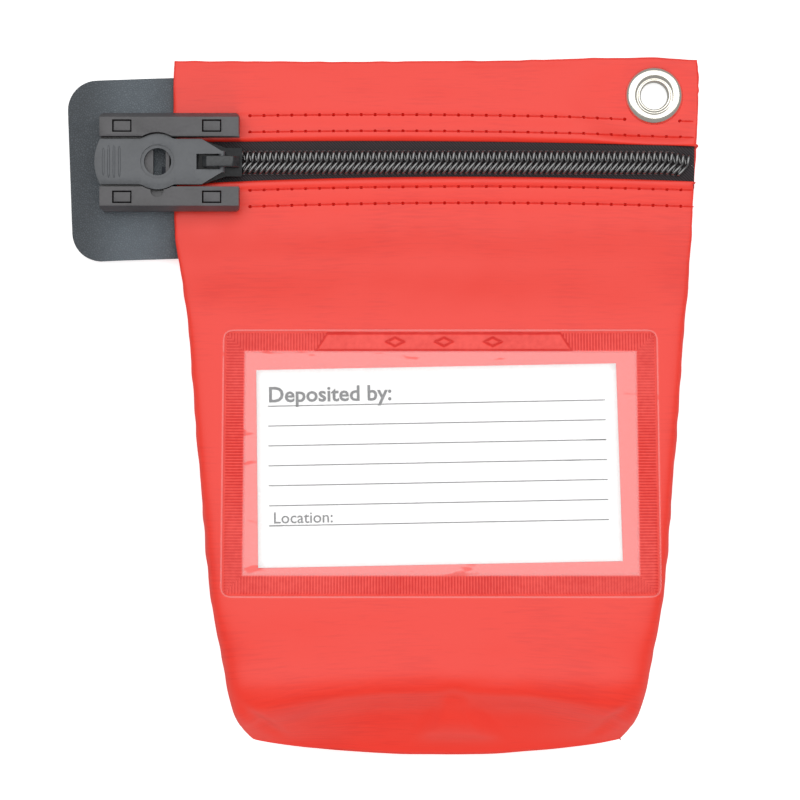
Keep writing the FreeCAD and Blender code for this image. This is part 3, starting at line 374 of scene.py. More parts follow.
def grained_vinyl():
    """Leathercloth: vinyl embossed with a pebble grain, with painted shade in its creases, and glossy on
    its crowns.
    """
    made, tree, shader = finish_named("grained_leathercloth", {
        "IOR": 1.5, "Coat Weight": 0.25, "Coat Roughness": 0.3})
    place = millimetres(tree, "Object")
    bend = add(tree, "TexNoise", {"Vector": place, "Scale": 1 / 3, "Detail": 1.0}).outputs[1]
    moved = add(tree, "VectorMath", {0: bend, 1: place}, operation="ADD").outputs[0]
    pebbles = add(tree, "TexVoronoi", {"Vector": moved, "Scale": 1 / 0.6}, feature="DISTANCE_TO_EDGE")
    crown = spread(tree, pebbles.outputs[0], 0.0, 0.22, 0.0, 1.0, interpolation_type="SMOOTHSTEP")
    # A painted sheen lightens a broad band down the middle of the tab, which is also made glossier, and
    # painted shade darkens its edges.
    middle = (GRIP_LOW[0] + GRIP_HIGH[0]) / 2 - 6
    across = add(tree, "SeparateXYZ", {0: place}).outputs[0]
    away = add(tree, "Math", {0: total(tree, across, -middle)}, operation="ABSOLUTE").outputs[0]
    painted_sheen_band = spread(tree, away, 2.0, 17.0, 0.85, 0.2, interpolation_type="SMOOTHSTEP")
    # The crowns' share darkens the creases between the pebbles as painted shade.
    painted_sheen_and_shade = total(tree, painted_sheen_band, spread(tree, crown, 0.0, 1.0, -0.22, 0.12))
    dyed(tree, shader, painted_sheen_and_shade, "31363b", "59636b", 0.0, 1.0)
    tree.links.new(spread(tree, painted_sheen_and_shade, 0.0, 1.0, 0.62, 0.42), shader.inputs["Roughness"])
    bumped(tree, shader, crown, 0.07)
    return made


def metal(name, colour, roughness, scratch):
    """Bright plated metal, with hairline scratches from handling."""
    made, tree, shader = finish_named(name, {"Base Color": linear(colour), "Metallic": 1.0})
    lines = noise(tree, 1, 2.0, (0.3, 6, 6), 0.7)
    rough = spread(tree, lines, 0.35, 0.65, roughness, roughness + scratch)
    tree.links.new(rough, shader.inputs["Roughness"])
    bumped(tree, shader, lines, 0.006)
    return made


def enamel(name, dark, light, gloss):
    """Black stoved enamel on the slider's die casting: glossy, with a little orange peel."""
    return flecked(name, {
        "Roughness": 0.3, "IOR": 1.5, "Specular IOR Level": gloss, "Coat Weight": gloss,
        "Coat Roughness": 0.12}, dark, light, 0.9, 0.02, 1.0)


def card_board():
    """Uncoated white card of 250 g: matt, with a very faint tooth."""
    return flecked("white_card", {"Roughness": 0.8, "IOR": 1.45}, "fbfaf9", "ffffff", 0.8, 0.01, 3.0)


def plain(name, dark, light, roughness, size, gloss=0.5):
    """A small matt surface whose two close shades mix in patches of the given size."""
    return flecked(name, {"Roughness": roughness, "Specular IOR Level": gloss}, dark, light, size, 0.02)


RED_CLOTH = coated_cloth("red_coated_cloth", "ea2c1c", "f2321f")
RIBS = welded_vinyl()
FILM = clear_film()
TAPE = woven_tape()
COIL = coil_nylon()
COIL_THREAD = plain("zip_sewing_thread", "4a4748", "5c5859", 0.6, 0.6)
PULL = moulded_plastic("pull_nylon", "46494d", "4f5256", 0.36)
HOUSING = moulded_plastic("housing_nylon", "3f3e40", "4a494c", 0.40)
GRAIN = grained_vinyl()
NICKEL = metal("bright_nickel", "f3efe4", 0.12, 0.10)
# The catch's near-black colour is painted shade for the slot it sits in.
SHADED_SPRING_STEEL = metal("spring_steel_painted_shade", "292b2f", 0.35, 0.15)
ENAMEL = enamel("black_enamel", "232527", "303335", 0.4)
# The slider body's enamel is the bridge's, painted darker and less glossy as shade where it lies under the
# pull's slot.
SHADED_ENAMEL = enamel("black_enamel_painted_shade", "18191b", "222426", 0.15)
CARD = card_board()
INK = plain("grey_form_ink", "3e4044", "484a4e", 0.7, 1.5)
RULE = plain("grey_rule_ink", "3c3e42", "4c4e52", 0.7, 1.5)
THREAD = plain("red_sewing_thread", "df2b20", "ec382c", 0.6, 0.7, 0.2)
# The needle holes' dark red is painted shade.
NEEDLE_HOLE_SHADE = plain("needle_hole_painted_shade", "b8130d", "cc1c14", 0.8, 0.5, 0.0)


# ------------------ the pouch
BROW_Y, HIP_Y, BROW_Z, HIP_Z = 24.0, -57.0, 15.5, 31.0  # the flat stretch under the window
SLOPE = (HIP_Z - BROW_Z) / (BROW_Y - HIP_Y)


def label_row(y, half):
    """A station on the flat stretch: its crown lies on one sloping line, its seam half as high."""
    z = BROW_Z + (BROW_Y - y) * SLOPE
    return (half, y, z / 2, y, z, 9, 1 / 9)


# Stations down the front panel, from the zip to the seam round the base. Each is the half width,
# y and z of the side seam, y and z of the crown, and the two powers of the section's curve.
FOLD = 0.7  # radius of the fold along the zip
FRONT_STATIONS = np.array([
    (75.4, 64.0, 2.35, SLOT_LOW - 2.4, 3.35, 9, 1 / 9),
    (75.4, 64.2, 2.35, SLOT_LOW - FOLD, 3.38, 9, 1 / 9),
    (75.4, 64.4, 2.35, SLOT_LOW, 4.05, 9, 1 / 9),
    (75.4, 64.4, 2.35, SLOT_LOW - FOLD, 4.75, 9, 1 / 9),
    (75.3, 61.0, 2.35, 61.0, 4.72, 9, 1 / 9),
    (75.0, 54.5, 2.40, 54.5, 4.80, 9, 1 / 9),
    (73.9, 40.0, 4.80, 40.0, 9.60, 9, 1 / 9),
    label_row(BROW_Y, 72.1), label_row(20.0, 71.7), label_row(-16.0, 68.5), label_row(-53.0, 64.9),
    label_row(HIP_Y, 64.4),
    (61.2, -73.5, 16.3, -70.0, 33.0, 8, 1 / 7),
    (59.3, -83.0, 16.8, -78.0, 33.8, 7, 0.15),
    (58.0, -87.6, 17.0, -81.0, 33.2, 6, 0.17),
    (56.8, -90.6, 17.0, -83.2, 30.9, 5, 0.20),
    (55.6, -92.8, 17.0, -86.6, 26.7, 4.2, 0.24),
    (54.4, -94.5, 17.0, -91.8, 22.7, 3.4, 0.30),
    (53.2, -95.8, 17.0, -96.4, 19.4, 2.6, 0.40),
    (52.6, -96.3, 17.0, -100.7, 17.2, 2.0, 0.60),
])
BACK_STATIONS = np.array([
    (52.6, -96.3, 17.0, -100.7, 17.0, 2.0, 0.60),
    (53.2, -95.8, 17.0, -100.1, 10.0, 2.6, 0.45),
    (55.0, -93.7, 17.0, -97.6, 4.0, 4.0, 0.36),
    (57.0, -90.1, 17.0, -93.5, 1.0, 5.0, 0.28),
    (59.5, -82.0, 16.8, -87.5, 0.1, 7.0, 0.18),
    (61.2, -73.5, 16.3, -77.0, 0.0, 8, 1 / 7),
    (64.4, HIP_Y, HIP_Z / 2, HIP_Y - 3, 0.0, 9, 1 / 9),
    (68.5, -16.0, 11.6, -16.0, 0.0, 9, 1 / 9),
    (72.1, BROW_Y, 7.75, BROW_Y, 0.0, 9, 1 / 9),
    (73.9, 40.0, 4.8, 40.0, 0.0, 9, 1 / 9),
    (75.0, 54.5, 2.4, 54.5, 0.0, 9, 1 / 9),
    (76.8, 85.0, 2.3, 85.0, 0.0, 9, 1 / 9),
    (76.8, 98.6, 1.1, 98.6, 0.0, 9, 1 / 9),
    (76.8, 99.6, 1.0, 99.7, 0.15, 9, 1 / 9),
    (76.8, 99.9, 1.0, HEM_Y + 0.1, 0.95, 9, 1 / 9),
])
BAND_STATIONS = np.array([
    (76.8, 99.9, 1.0, HEM_Y + 0.1, 1.05, 9, 1 / 9),
    (76.8, 99.6, 1.0, 99.8, 1.9, 9, 1 / 9),
    (76.8, 98.6, 1.1, 98.6, 2.2, 9, 1 / 9),
    (76.8, 92.0, 1.7, 92.0, 3.5, 9, 1 / 9),
    (76.8, 85.5, 2.3, 85.5, 4.6, 9, 1 / 9),
    (76.5, 80.0, 2.35, 80.0, 4.72, 9, 1 / 9),
    (76.3, 75.6, 2.35, SLOT_HIGH + FOLD, 4.75, 9, 1 / 9),
    (76.3, 75.6, 2.35, SLOT_HIGH, 4.05, 9, 1 / 9),
    (76.3, 75.8, 2.35, SLOT_HIGH + FOLD, 3.38, 9, 1 / 9),
    (76.3, 76.0, 2.35, SLOT_HIGH + 2.4, 3.35, 9, 1 / 9),
])


SEAM_SHARE = 0.93  # from here outwards the panels give way
OVER_TAB = 1.65  # tab's underside to the cloth's outer face
FINE_RUN = 14  # the fold at the zip has rows set closer


def side_bulge(across, y):
    """How far the left edge is pushed out below the zip, where the tab's weld stiffens it."""
    return -1.5 * hump(y, 50, 15) * np.clip(-across, 0, 1) ** 3


def hem_line(x):
    """How far the hem strays from straight: it dips left of the middle and rises to the eyelet."""
    return 0.2 - 0.35 * hump(x, -24, 25) + 1.0 * ease(x, 12, 64) - 0.6 * ease(x, 66, 75)


def crown_measure(stations):
    """How far each station lies down the panel, along its crown."""
    steps = np.hypot(np.diff(stations[:, 3]), np.diff(stations[:, 4]))
    return np.concatenate([[0], np.cumsum(steps)])


def even_spread(count, power=9, depth=0.16):
    """Places from -1 to 1 that lie evenly far apart along a section this deep for its half width."""
    s = np.sin(np.linspace(-1, 1, 4001) * PI / 2)
    lift = (1 - np.abs(s) ** power) ** (1 / power)
    run = np.concatenate([[0], np.cumsum(np.hypot(np.diff(s), depth * np.diff(lift)))])
    return np.interp(np.linspace(0, run[-1], count), run, s)


def panel_points(stations, places, across):
    """Points of a panel, row after row down the bag.

    A row runs from side seam to side seam. Its share of the height from the seam line to the crown
    is (1 - |s| ** a) ** b, so that it is flat in the middle and turns down at its ends, and its
    share of the way down the bag is (1 - s ** 2) ** 0.85, so that the roll of the base is an arch."""
    rows = smooth_through(crown_measure(stations), stations, places)
    half, seam_y, seam_z, crown_y, crown_z, a, b = rows.T[:, :, None]
    lift = (1 - np.abs(across) ** a) ** b
    bow = (1 - across ** 2) ** 0.85
    return np.stack([half * across + 0 * lift, seam_y + (crown_y - seam_y) * bow,
                     seam_z + (crown_z - seam_z) * lift], axis=-1)


def cloth_uv(x, places):
    """Texture coordinates along a panel's threads: x, and the way down its crown, in millimetres."""
    return np.stack(np.broadcast_arrays(x, places[:, None]), axis=-1)


def hem_sway(x, y):
    """How far a point near the top edge strays upwards: the line of the hem and its small waves."""
    return (hem_line(x) + 0.10 * waves(x, 0 * y, 21, 6, 40)) * ease(y, 88, 100)


def stitch_grooves(y):
    """How far the two rows of stitches on each side of the zip draw the cloth down."""
    away = np.abs(y - ZIP_Y)
    return -0.13 * (hump(away, 8.1, 0.75) + hump(away, 12.9, 0.75))


def upper_sway(x):
    """How far the cloth above the zip strays from straight: up in the middle, down at the right."""
    return 1.1 - 0.0086 * (x - 4) - 0.00022 * (x - 4) ** 2


def lower_sway(x):
    """The same for the cloth below the zip, which bows up more in the middle."""
    return 1.25 + 0.0035 * (x - 4) - 0.00026 * (x - 4) ** 2


def tab_gap(y):
    """1 along the side seam where the grip tab comes out, 0 beyond it."""
    return ease(y, 38.5, 43) * (1 - ease(y, 93, 97.5))


def tab_share(x, y, across):
    """How much of a panel's edge gives way to the grip tab: 1 at the left seam, 0 in from it."""
    edge = np.maximum(np.abs(across) - SEAM_SHARE, 0) / (1 - SEAM_SHARE)
    return tab_gap(y) * (x < 0) * edge ** 2


def tab_height(x, y):
    """Underside of the grip tab: level, easing down towards the hem and curling a little at its edge."""
    dip = 1.35 * ease(y, 82, 95.5)
    curl = 0.0030 * (np.minimum(x, -70) + 89.0) ** 2 + 0.12 * np.sin((y - 40) / 9.0) * ease(-x, 80, 100)
    return GRIP_LOW[2] + 0.02 - dip - curl


def window_mask(x, y, margin):
    """1 over the label window, fading to 0 over the margin round it."""
    half = (WELD_HIGH - WELD_LOW)[:2] / 2
    away = np.maximum(np.abs(x - WINDOW[0]) - half[0], np.abs(y - WINDOW[1]) - half[1])
    return 1 - ease(away, 0, margin)


def front_unevenness(x, y):
    """Height that the cloth's slack adds to the front panel, in millimetres."""
    calm = window_mask(x, y, 14)
    zip_calm = 1 - ease(y, 46, 58)
    slack = 0.34 * waves(x, y, 3, 26, 90) + 0.10 * waves(x, y, 4, 9, 24)
    drawn = 0.10 * np.sin(2 * PI * (x + 3 * np.sin(y / 7)) / 11.0) * hump(y, 53, 3.2)
    return slack * (1 - calm) * zip_calm + drawn + stitch_grooves(y)


def base_folds(x, y, z):
    """Folds of the base: a notch under its roll that opens downwards into a raised facet, a hollow
    on each side of it, and a crease in each boxed corner."""
    pinch_x, pinch_y = 4.7, -81.5
    low = ease(-y, 76, 82) * ease(z, 17.5, 22)
    fall = pinch_y - y
    reach = 2.0 + 0.85 * np.maximum(fall, 0)
    facet = 1 - ease(np.abs(x - pinch_x - 0.12 * fall), 0.45 * reach, 1.15 * reach)
    raised = 2.3 * ease(fall, 0, 8) * (1 - ease(fall, 8, 19)) * facet
    notch = -0.9 * hump(np.hypot((x - pinch_x) / 1.6, fall - 0.5), 0, 2.4)
    hollow = -1.0 * (hump(x, -16, 12) + hump(x, 25, 12)) * hump(y, -88, 5)
    corner_crease = -1.1 * hump((np.abs(x) - 50) * 0.6 - (y + 90) * 0.8, 0, 1.8) * hump(np.abs(x), 50, 6)
    return low * (raised + notch + hollow + corner_crease)


def side_sway(across, y, seed):
    """How far the cloth by the side seams strays in x: the bulge by the tab, and puckers that draw
    the edge in along a groove that gets deeper and shallower."""
    near = np.exp(-((1 - np.abs(across)) / 0.010) ** 2)
    pucker = near * (0.22 + 0.16 * waves(0 * y, y, seed, 5, 30))
    return side_bulge(across, y) - np.sign(across) * pucker


def front_surface(rows_fine=30, rows=158, columns=190):
    """The front panel: stations, then sway at the zip, the tab's gap, slack, folds and puckers."""
    measure = crown_measure(FRONT_STATIONS)
    places = np.concatenate([np.linspace(0, FINE_RUN, rows_fine, endpoint=False),
                             np.linspace(FINE_RUN, measure[-1], rows)])
    across = even_spread(columns)
    points = panel_points(FRONT_STATIONS, places, across)
    x, y, z = points[..., 0], points[..., 1].copy(), points[..., 2]
    normal = normals_of(points)
    rise = front_unevenness(x, y) * (normal[..., 2] > 0.2) + base_folds(x, y, z)
    points += normal * rise[..., None]
    points[..., 1] += lower_sway(x) * ease(y, 26, 56)
    over = np.maximum(tab_height(x, y) + OVER_TAB - points[..., 2], 0)
    points[..., 2] += tab_share(x, y, across) * over
    points[..., 0] += side_sway(across, y, 41)
    return points, cloth_uv(x, places)


def front_height(x, y):
    """Height of the front panel's outer face over spots between the zip and the base."""
    measure = crown_measure(FRONT_STATIONS)
    at = np.linspace(measure[3], measure[12], 900)  # from the fold down to the base
    table = smooth_through(measure, FRONT_STATIONS, at)
    place = np.interp(-np.ravel(y), -table[:, 3], at)
    half, _, seam_z, _, crown_z, a, b = smooth_through(measure, FRONT_STATIONS, place).T
    share = np.minimum(np.abs(np.ravel(x)) / half, 0.9995)
    z = seam_z + (crown_z - seam_z) * (1 - share ** a) ** b
    return z.reshape(np.shape(x)) + front_unevenness(x, y) * 1.02


def eyelet_away(x, y, left=1.0):
    """Distance from the eyelet's middle, counted for less than it is towards the left if asked."""
    over = x - EYELET[0]
    return np.hypot(np.where(over < 0, over * left, over), y - EYELET[1])


def band_surface(rows=70, columns=210):
    """The cloth above the zip: stations, then the dimple of the eyelet, sway, hem bump and puckers."""
    measure = crown_measure(BAND_STATIONS)
    places = np.linspace(0, measure[-1], rows)
    across = even_spread(columns, depth=0.03)
    points = panel_points(BAND_STATIONS, places, across)
    x, y = points[..., 0], points[..., 1].copy()
    away = eyelet_away(x, y)
    rows_pull = stitch_grooves(y) * ease(away, 9, 13)
    slack = 0.16 * waves(x, y, 8, 14, 50) * ease(y, 84, 92) * (1 - ease(y, 97.5, 99))
    top = points[..., 2] > 1.5
    points[..., 2] += (rows_pull + slack) * top * (y > SLOT_HIGH + FOLD)
    seat = 1 - ease(eyelet_away(x, y, 0.62), 8.7, 18.0)
    points[..., 2] += (np.minimum(points[..., 2], 2.2) - points[..., 2]) * seat * top * (y < 98.9)
    points[..., 1] += upper_sway(x) * (1 - ease(y, 83, 97)) * ease(away, 9, 15)
    points[..., 1] += hem_sway(x, y)
    ragged = 0.22 * waves(0 * x, y, 13, 1.6, 6) * ease(y, 86, 92) * (across > 0.99)
    points[..., 0] += ragged + side_sway(across, y, 42)
    over = np.maximum(tab_height(x, y) + OVER_TAB - points[..., 2], 0)
    points[..., 2] += tab_share(x, y, across) * over
    return points, cloth_uv(x, places)


def height_over(points):
    """Gives a function for the height of a panel's upper face over spots, from the points near each."""
    spots = points[points[..., 2] > 1.8]

    def height(x, y):
        """The mean height of the points round each spot, in which the upper face counts for most."""
        away = (np.ravel(x)[:, None] - spots[:, 0]) ** 2 + (np.ravel(y)[:, None] - spots[:, 1]) ** 2
        weight = np.exp(-away / 0.35 ** 2) * np.exp(spots[:, 2] / 0.15)
        return ((weight * spots[:, 2]).sum(axis=1) / weight.sum(axis=1)).reshape(np.shape(x))

    return height


def back_surface(rows=180, columns=180):
    """The back panel: flat where the bag rests, rounded at the base, drawn in along the seams."""
    measure = crown_measure(BACK_STATIONS)
    places = np.linspace(0, measure[-1], rows)
    across = even_spread(columns)
    points = panel_points(BACK_STATIONS, places, across)
    x, y, z = points[..., 0], points[..., 1].copy(), points[..., 2].copy()
    seat = 1 - ease(eyelet_away(x, y), 8.3, 13.5)
    points[..., 2] += (np.maximum(z, 0.8) - z) * seat
    creases = 0.9 * waves(x, y, 31, 22, 70) + 0.3 * waves(x, y, 32, 9, 20)
    flat = ease(y, -80, -60) * (1 - ease(y, 60, 90)) * (np.abs(across) < SEAM_SHARE)
    points[..., 2] += np.maximum(creases, 0) * 0.35 * flat
    under = np.maximum(tab_height(x, y) - 0.75, 0.1)
    points[..., 2] += tab_share(x, y, across) * np.minimum(under - points[..., 2], 0)
    points[..., 1] += hem_sway(x, y)
    points[..., 0] += side_sway(across, y, 41)
    return points, cloth_uv(x, places)


def panel(name, surface, drop_eyelet=False):
    """One cloth panel as a thick sheet, with the eyelet's hole cut out of it."""
    points, uv = surface
    rows, columns = points.shape[:2]
    faces = grid_faces(rows, columns)
    if drop_eyelet:
        centre = points.reshape(-1, 3)[faces].mean(axis=1)
        faces = faces[eyelet_away(centre[:, 0], centre[:, 1]) > 6.2]
    made = piece(name + "_cloth", points, faces, RED_CLOTH, "red_cloth", uv=uv)
    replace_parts(made, name)
    return thicken(made, VINYL)


front_grid, band_grid = front_surface(), band_surface()
front = panel("front_panel", front_grid)
band = panel("top_band", band_grid, True)
back = panel("back_panel", back_surface(), True)


# ------------------ the grip tab
def grip_tab(rows=120, columns=70):
    """A leathercloth tab: rows across it that each start on its rounded left edge, leaning a little."""
    lean, corner = math.radians(2.0), 8.5
    left, right = GRIP_LOW[0] + 0.7, -73.0
    half = (GRIP_HIGH[1] - GRIP_LOW[1]) / 2 - 0.5
    middle = np.array([(left + right) / 2, (GRIP_HIGH[1] + GRIP_LOW[1]) / 2])
    y = (np.sin(np.linspace(1, -1, rows) * PI / 2) * half)[:, None]
    beyond = np.maximum(np.abs(y) - (half - corner), 0)
    start = left + corner - np.sqrt(np.maximum(corner ** 2 - beyond ** 2, 0))
    x = start + (right - start) * (np.linspace(0, 1, columns) ** 1.4)[None, :] - middle[0]
    turned_x = x * math.cos(lean) - y * math.sin(lean) + middle[0]
    turned_y = x * math.sin(lean) + y * math.cos(lean) + middle[1]
    wrinkle = 0.10 * waves(turned_x, turned_y, 5, 7, 22) * (1 - ease(turned_x, -82, -77))
    crimps = (0.10 * np.sin(turned_y * 2 * PI / 2.3 + turned_x)
              * hump(turned_x, -99.5, 1.6) * hump(turned_y, 64, 8))
    z = tab_height(turned_x, turned_y) + (GRIP_HIGH - GRIP_LOW)[2] + np.minimum(wrinkle, 0.15) + crimps
    points = np.stack([turned_x, turned_y, z], axis=-1)
    made = piece("grip_tab_leathercloth", points, grid_faces(rows, columns), GRAIN, "grain_vinyl")
    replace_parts(made, "grip_tab")
    return thicken(made, 0.8)


tab = grip_tab()


# ------------------ the zip
def zip_droop(x):
    """The chain follows the cloth down at its right end."""
    return -0.9 * ease(x, 66, 74) + 0.2 * np.cos(PI * np.clip(x, -66, 66) / 140)


def zip_tape(side, sign):
    """A woven tape: a flat strip that follows the chain, and dips under the cloth by the eyelet."""
    rows, columns = 24, 120
    out = np.linspace(0.01, 14.5, rows)[::-sign][:, None]
    end = COIL_HIGH[0] + 2.2 - 1.8 * ease(out, 6.5, 8.5)
    x = TAPE_LOW[0] + (end - TAPE_LOW[0]) * np.linspace(0, 1, columns)[None, :]
    across = ZIP_Y + sign * out + zip_droop(x)
    dip = 2.9 * (1 - ease(eyelet_away(x, across, 0.6), 9, 20)) * ease(out, 4.4, 6.4)
    z = TAPE_HIGH[2] - 0.5 * ease(x, 70, 74) - dip
    points = np.stack(np.broadcast_arrays(x, across, z), axis=-1)
    made = piece(f"zip_tape_{side}_weave", points, grid_faces(rows, columns), TAPE, "zip_tape")
    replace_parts(made, f"zip_tape_{side}")
    return thicken(made, 0.45)


COIL_PITCH = 1.67  # one turn of the coil along the zip
COIL_START = -70.5  # its first turn, hidden in the lock
COIL_RUN_ON = 1.7  # how far it may run on past its solid


def zip_coil(side, sign, lean, shift):
    """A flattened helix of monofilament: across the chain as a cosine, up and down as a sine.

    The upper strand of each turn leans along the zip by lean millimetres."""
    length = COIL_HIGH[0] + COIL_RUN_ON - COIL_START - shift - lean / 2
    turns = int(length / COIL_PITCH)
    steps = 16
    angle = np.arange(turns * steps + 1) * 2 * PI / steps
    inner, outer = 0.05, COIL_HIGH[1] - ZIP_Y - 0.3
    out = (inner + outer) / 2 - (outer - inner) / 2 * np.cos(angle)
    x = COIL_START + shift + COIL_PITCH * angle / (2 * PI) + lean * 0.5 * np.cos(angle)
    z = (COIL_LOW[2] + COIL_HIGH[2]) / 2 - 0.12 + 0.62 * np.sin(angle) * sign
    z = z - 1.6 * ease(x, 70, 76)
    path = np.stack([x, ZIP_Y + sign * out + zip_droop(x), z], axis=-1)[None]
    points, faces = tubes(path, 0.42, 0.36, 8)
    made = piece(f"zip_coil_{side}_turns", points, faces, COIL, "zip_coil")
    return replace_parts(made, f"zip_coil_{side}")


def coil_stitches(side, sign):
    """The chain stitches that sew a coil to its tape: a dash between each pair of turns."""
    length, out = 0.9, 3.35
    steps = np.linspace(-0.5, 0.5, 5)
    x = np.arange(COIL_START + 1.0, COIL_HIGH[0] - 3.0, COIL_PITCH)[:, None] + steps * length
    z = TAPE_HIGH[2] + 0.22 + 0.16 * np.cos(steps * PI)
    path = np.stack(np.broadcast_arrays(x, ZIP_Y + sign * out + zip_droop(x), z), axis=-1)
    points, faces = tubes(path, 0.20, 0.14)
    return piece(f"coil_stitches_{side}", points, faces, COIL_THREAD, "zip_coil")


for side, sign, lean, shift in (("upper", 1, 0.1, 0.0), ("lower", -1, 1.9, COIL_PITCH / 2)):
    zip_tape(side, sign)
    zip_coil(side, sign, lean, shift)
    coil_stitches(side, sign)


# ------------------ lockstitch along the zip
STITCH = 4.05  # from needle hole to needle hole
FIRST_HOLE, LAST_HOLE = -54.2, 73.0  # the ends of every row


def stitch_row(node, sway, height):
    """A row of lockstitch: a thread from hole to hole, arched a little, and needle holes darkened by
    painted shade.
    """
    y0 = (box_mm(node)[0][1] + box_mm(node)[1][1]) / 2
    holes = np.arange(FIRST_HOLE, LAST_HOLE, STITCH)
    reach = [eyelet_away(holes + share * STITCH, y0 + sway(holes)) for share in (0, 0.5, 1)]
    keep = np.min(reach, axis=0) > 8.6
    steps = np.linspace(0.06, 0.94, 9)
    x = holes[keep][:, None] + steps[None] * STITCH
    y = y0 + sway(x)
    arch = np.sin(steps * PI) ** 0.6
    z = height(x, y) - 0.10 + 0.20 * arch
    taper = np.broadcast_to(0.13 + 0.10 * arch, x.shape)
    points, faces = tubes(np.stack([x, y, z], axis=-1), taper, taper * 0.8)
    made = piece(node + "_thread", points, faces, THREAD, "red_thread")
    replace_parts(made, node)
    # Each hole is a shallow cup, wider along the row than across it, closed over its top by a disc whose
    # dark red is painted shade.
    sides = 10
    turn = np.arange(sides) * 2 * PI / sides
    x = holes[eyelet_away(holes, y0 + sway(holes)) > 8.9][:, None]
    y = y0 + sway(x)
    rim = np.stack(np.broadcast_arrays(x + 0.56 * np.cos(turn), y + 0.48 * np.sin(turn),
                                       height(x, y) + 0.05), axis=-1)
    points = np.concatenate([rim.reshape(-1, 3), (rim - [0, 0, 0.35]).reshape(-1, 3)])
    n, k = len(x) * sides, np.arange(sides)
    starts = np.arange(len(x))[:, None] * sides
    a, b = starts + k, starts + (k + 1) % sides
    walls = np.stack([b + n, a + n, a, b], axis=-1).reshape(-1, 4).tolist()
    caps = (starts + k).tolist() + (starts + k[::-1] + n).tolist()
    piece(node + "_holes", points, walls + caps, NEEDLE_HOLE_SHADE, "red_thread")


over_front = height_over(front_grid[0][:60])
over_band = height_over(band_grid[0])
for node, sway, height in (("stitch_row_top_far", upper_sway, over_band),
                           ("stitch_row_top_near", upper_sway, over_band),
                           ("stitch_row_low_near", lower_sway, over_front),
                           ("stitch_row_low_far", lower_sway, over_front)):
    stitch_row(node, sway, height)


# ------------------ the eyelet
def rolled(name, node, profile, count):
    """A ring of plated metal: a profile of (radius, height), smoothed and turned about the eyelet."""
    profile = np.array(profile)
    knots = np.concatenate([[0], np.cumsum(np.hypot(*np.diff(profile, axis=0).T))])
    fine = smooth_through(knots, profile, np.linspace(0, knots[-1], count))
    points, faces = turned(fine, EYELET)
    made = piece(name, points, faces, NICKEL, "nickel", recalculate=True)
    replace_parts(made, node)


def eyelet():
    """A rolled brass eyelet, nickel plated: a domed flange, a collar rolled into the bore, and a washer."""
    z = EYELET_HIGH[2]
    rolled("eyelet_front_plated", "eyelet_front", [
        (4.0, 0.15), (4.0, z - 0.9), (4.1, z - 0.45), (4.4, z - 0.2), (4.75, z - 0.28), (4.95, z - 0.5),
        (5.2, z - 0.42), (5.7, z - 0.14), (6.4, z - 0.02), (7.1, z - 0.14), (7.7, z - 0.42),
        (8.15, z - 0.85), (8.38, z - 1.2), (8.2, z - 1.26), (6.5, z - 1.05), (4.6, z - 1.3), (4.35, 1.0),
        (4.3, 0.15)], 80)
    rolled("eyelet_washer_plated", "eyelet_washer", [
        (4.35, 0.35), (4.5, 0.05), (5.2, 0.0), (7.4, 0.03), (7.9, 0.2), (8.0, 0.55), (7.8, 0.78),
        (5.0, 0.78), (4.45, 0.6)], 40)


eyelet()


# ------------------ the label window
BAND_WIDE = 6.3  # the ribbed weld
RIB_PITCH = 0.85  # from rib to rib
WELD_HALF = np.array([62.0, 38.25])  # half its size, measured on the slope
LEAN = math.atan(SLOPE)


def on_slope(u, v):
    """Plan position of a spot given from the window's middle, u across and v up the slope."""
    return WINDOW[0] + u, WINDOW[1] + v * math.cos(LEAN)


def round_corner(u, v, half, radius):
    """Draws points beyond the corner arcs of a rectangle in onto them."""
    inner = half - radius
    du, dv = np.maximum(np.abs(u) - inner[0], 0), np.maximum(np.abs(v) - inner[1], 0)
    away = np.hypot(du, dv)
    shrink = np.where((du > 0) & (dv > 0) & (away > radius), radius / np.maximum(away, 1e-9), 1)
    return (np.where(du > 0, np.sign(u) * (inner[0] + du * shrink), u),
            np.where(dv > 0, np.sign(v) * (inner[1] + dv * shrink), v))


def plaque(u, d):
    """The smooth trapezoid in the top band: (1 inside it, 1 along its raised outline and lozenges)."""
    centre, half_top, half_low = 1.0, 33.5, 37.5
    half = half_top + (half_low - half_top) * d / BAND_WIDE
    inside = half - np.abs(u - centre)
    flat = np.clip(inside / 0.25, 0, 1)
    edge = np.minimum(inside, np.minimum(d - 0.25, BAND_WIDE - 0.2 - d))
    outline = hump(edge, 0.45, 0.28) * (inside > -0.6)
    lozenges = sum(hump(np.abs(u - centre - step) * 0.5 + np.abs(d - BAND_WIDE / 2) - 1.25, 0, 0.3)
                   for step in (-14.0, 0.0, 14.0))
    return flat, np.clip(outline + lozenges * (inside > 2), 0, 1)


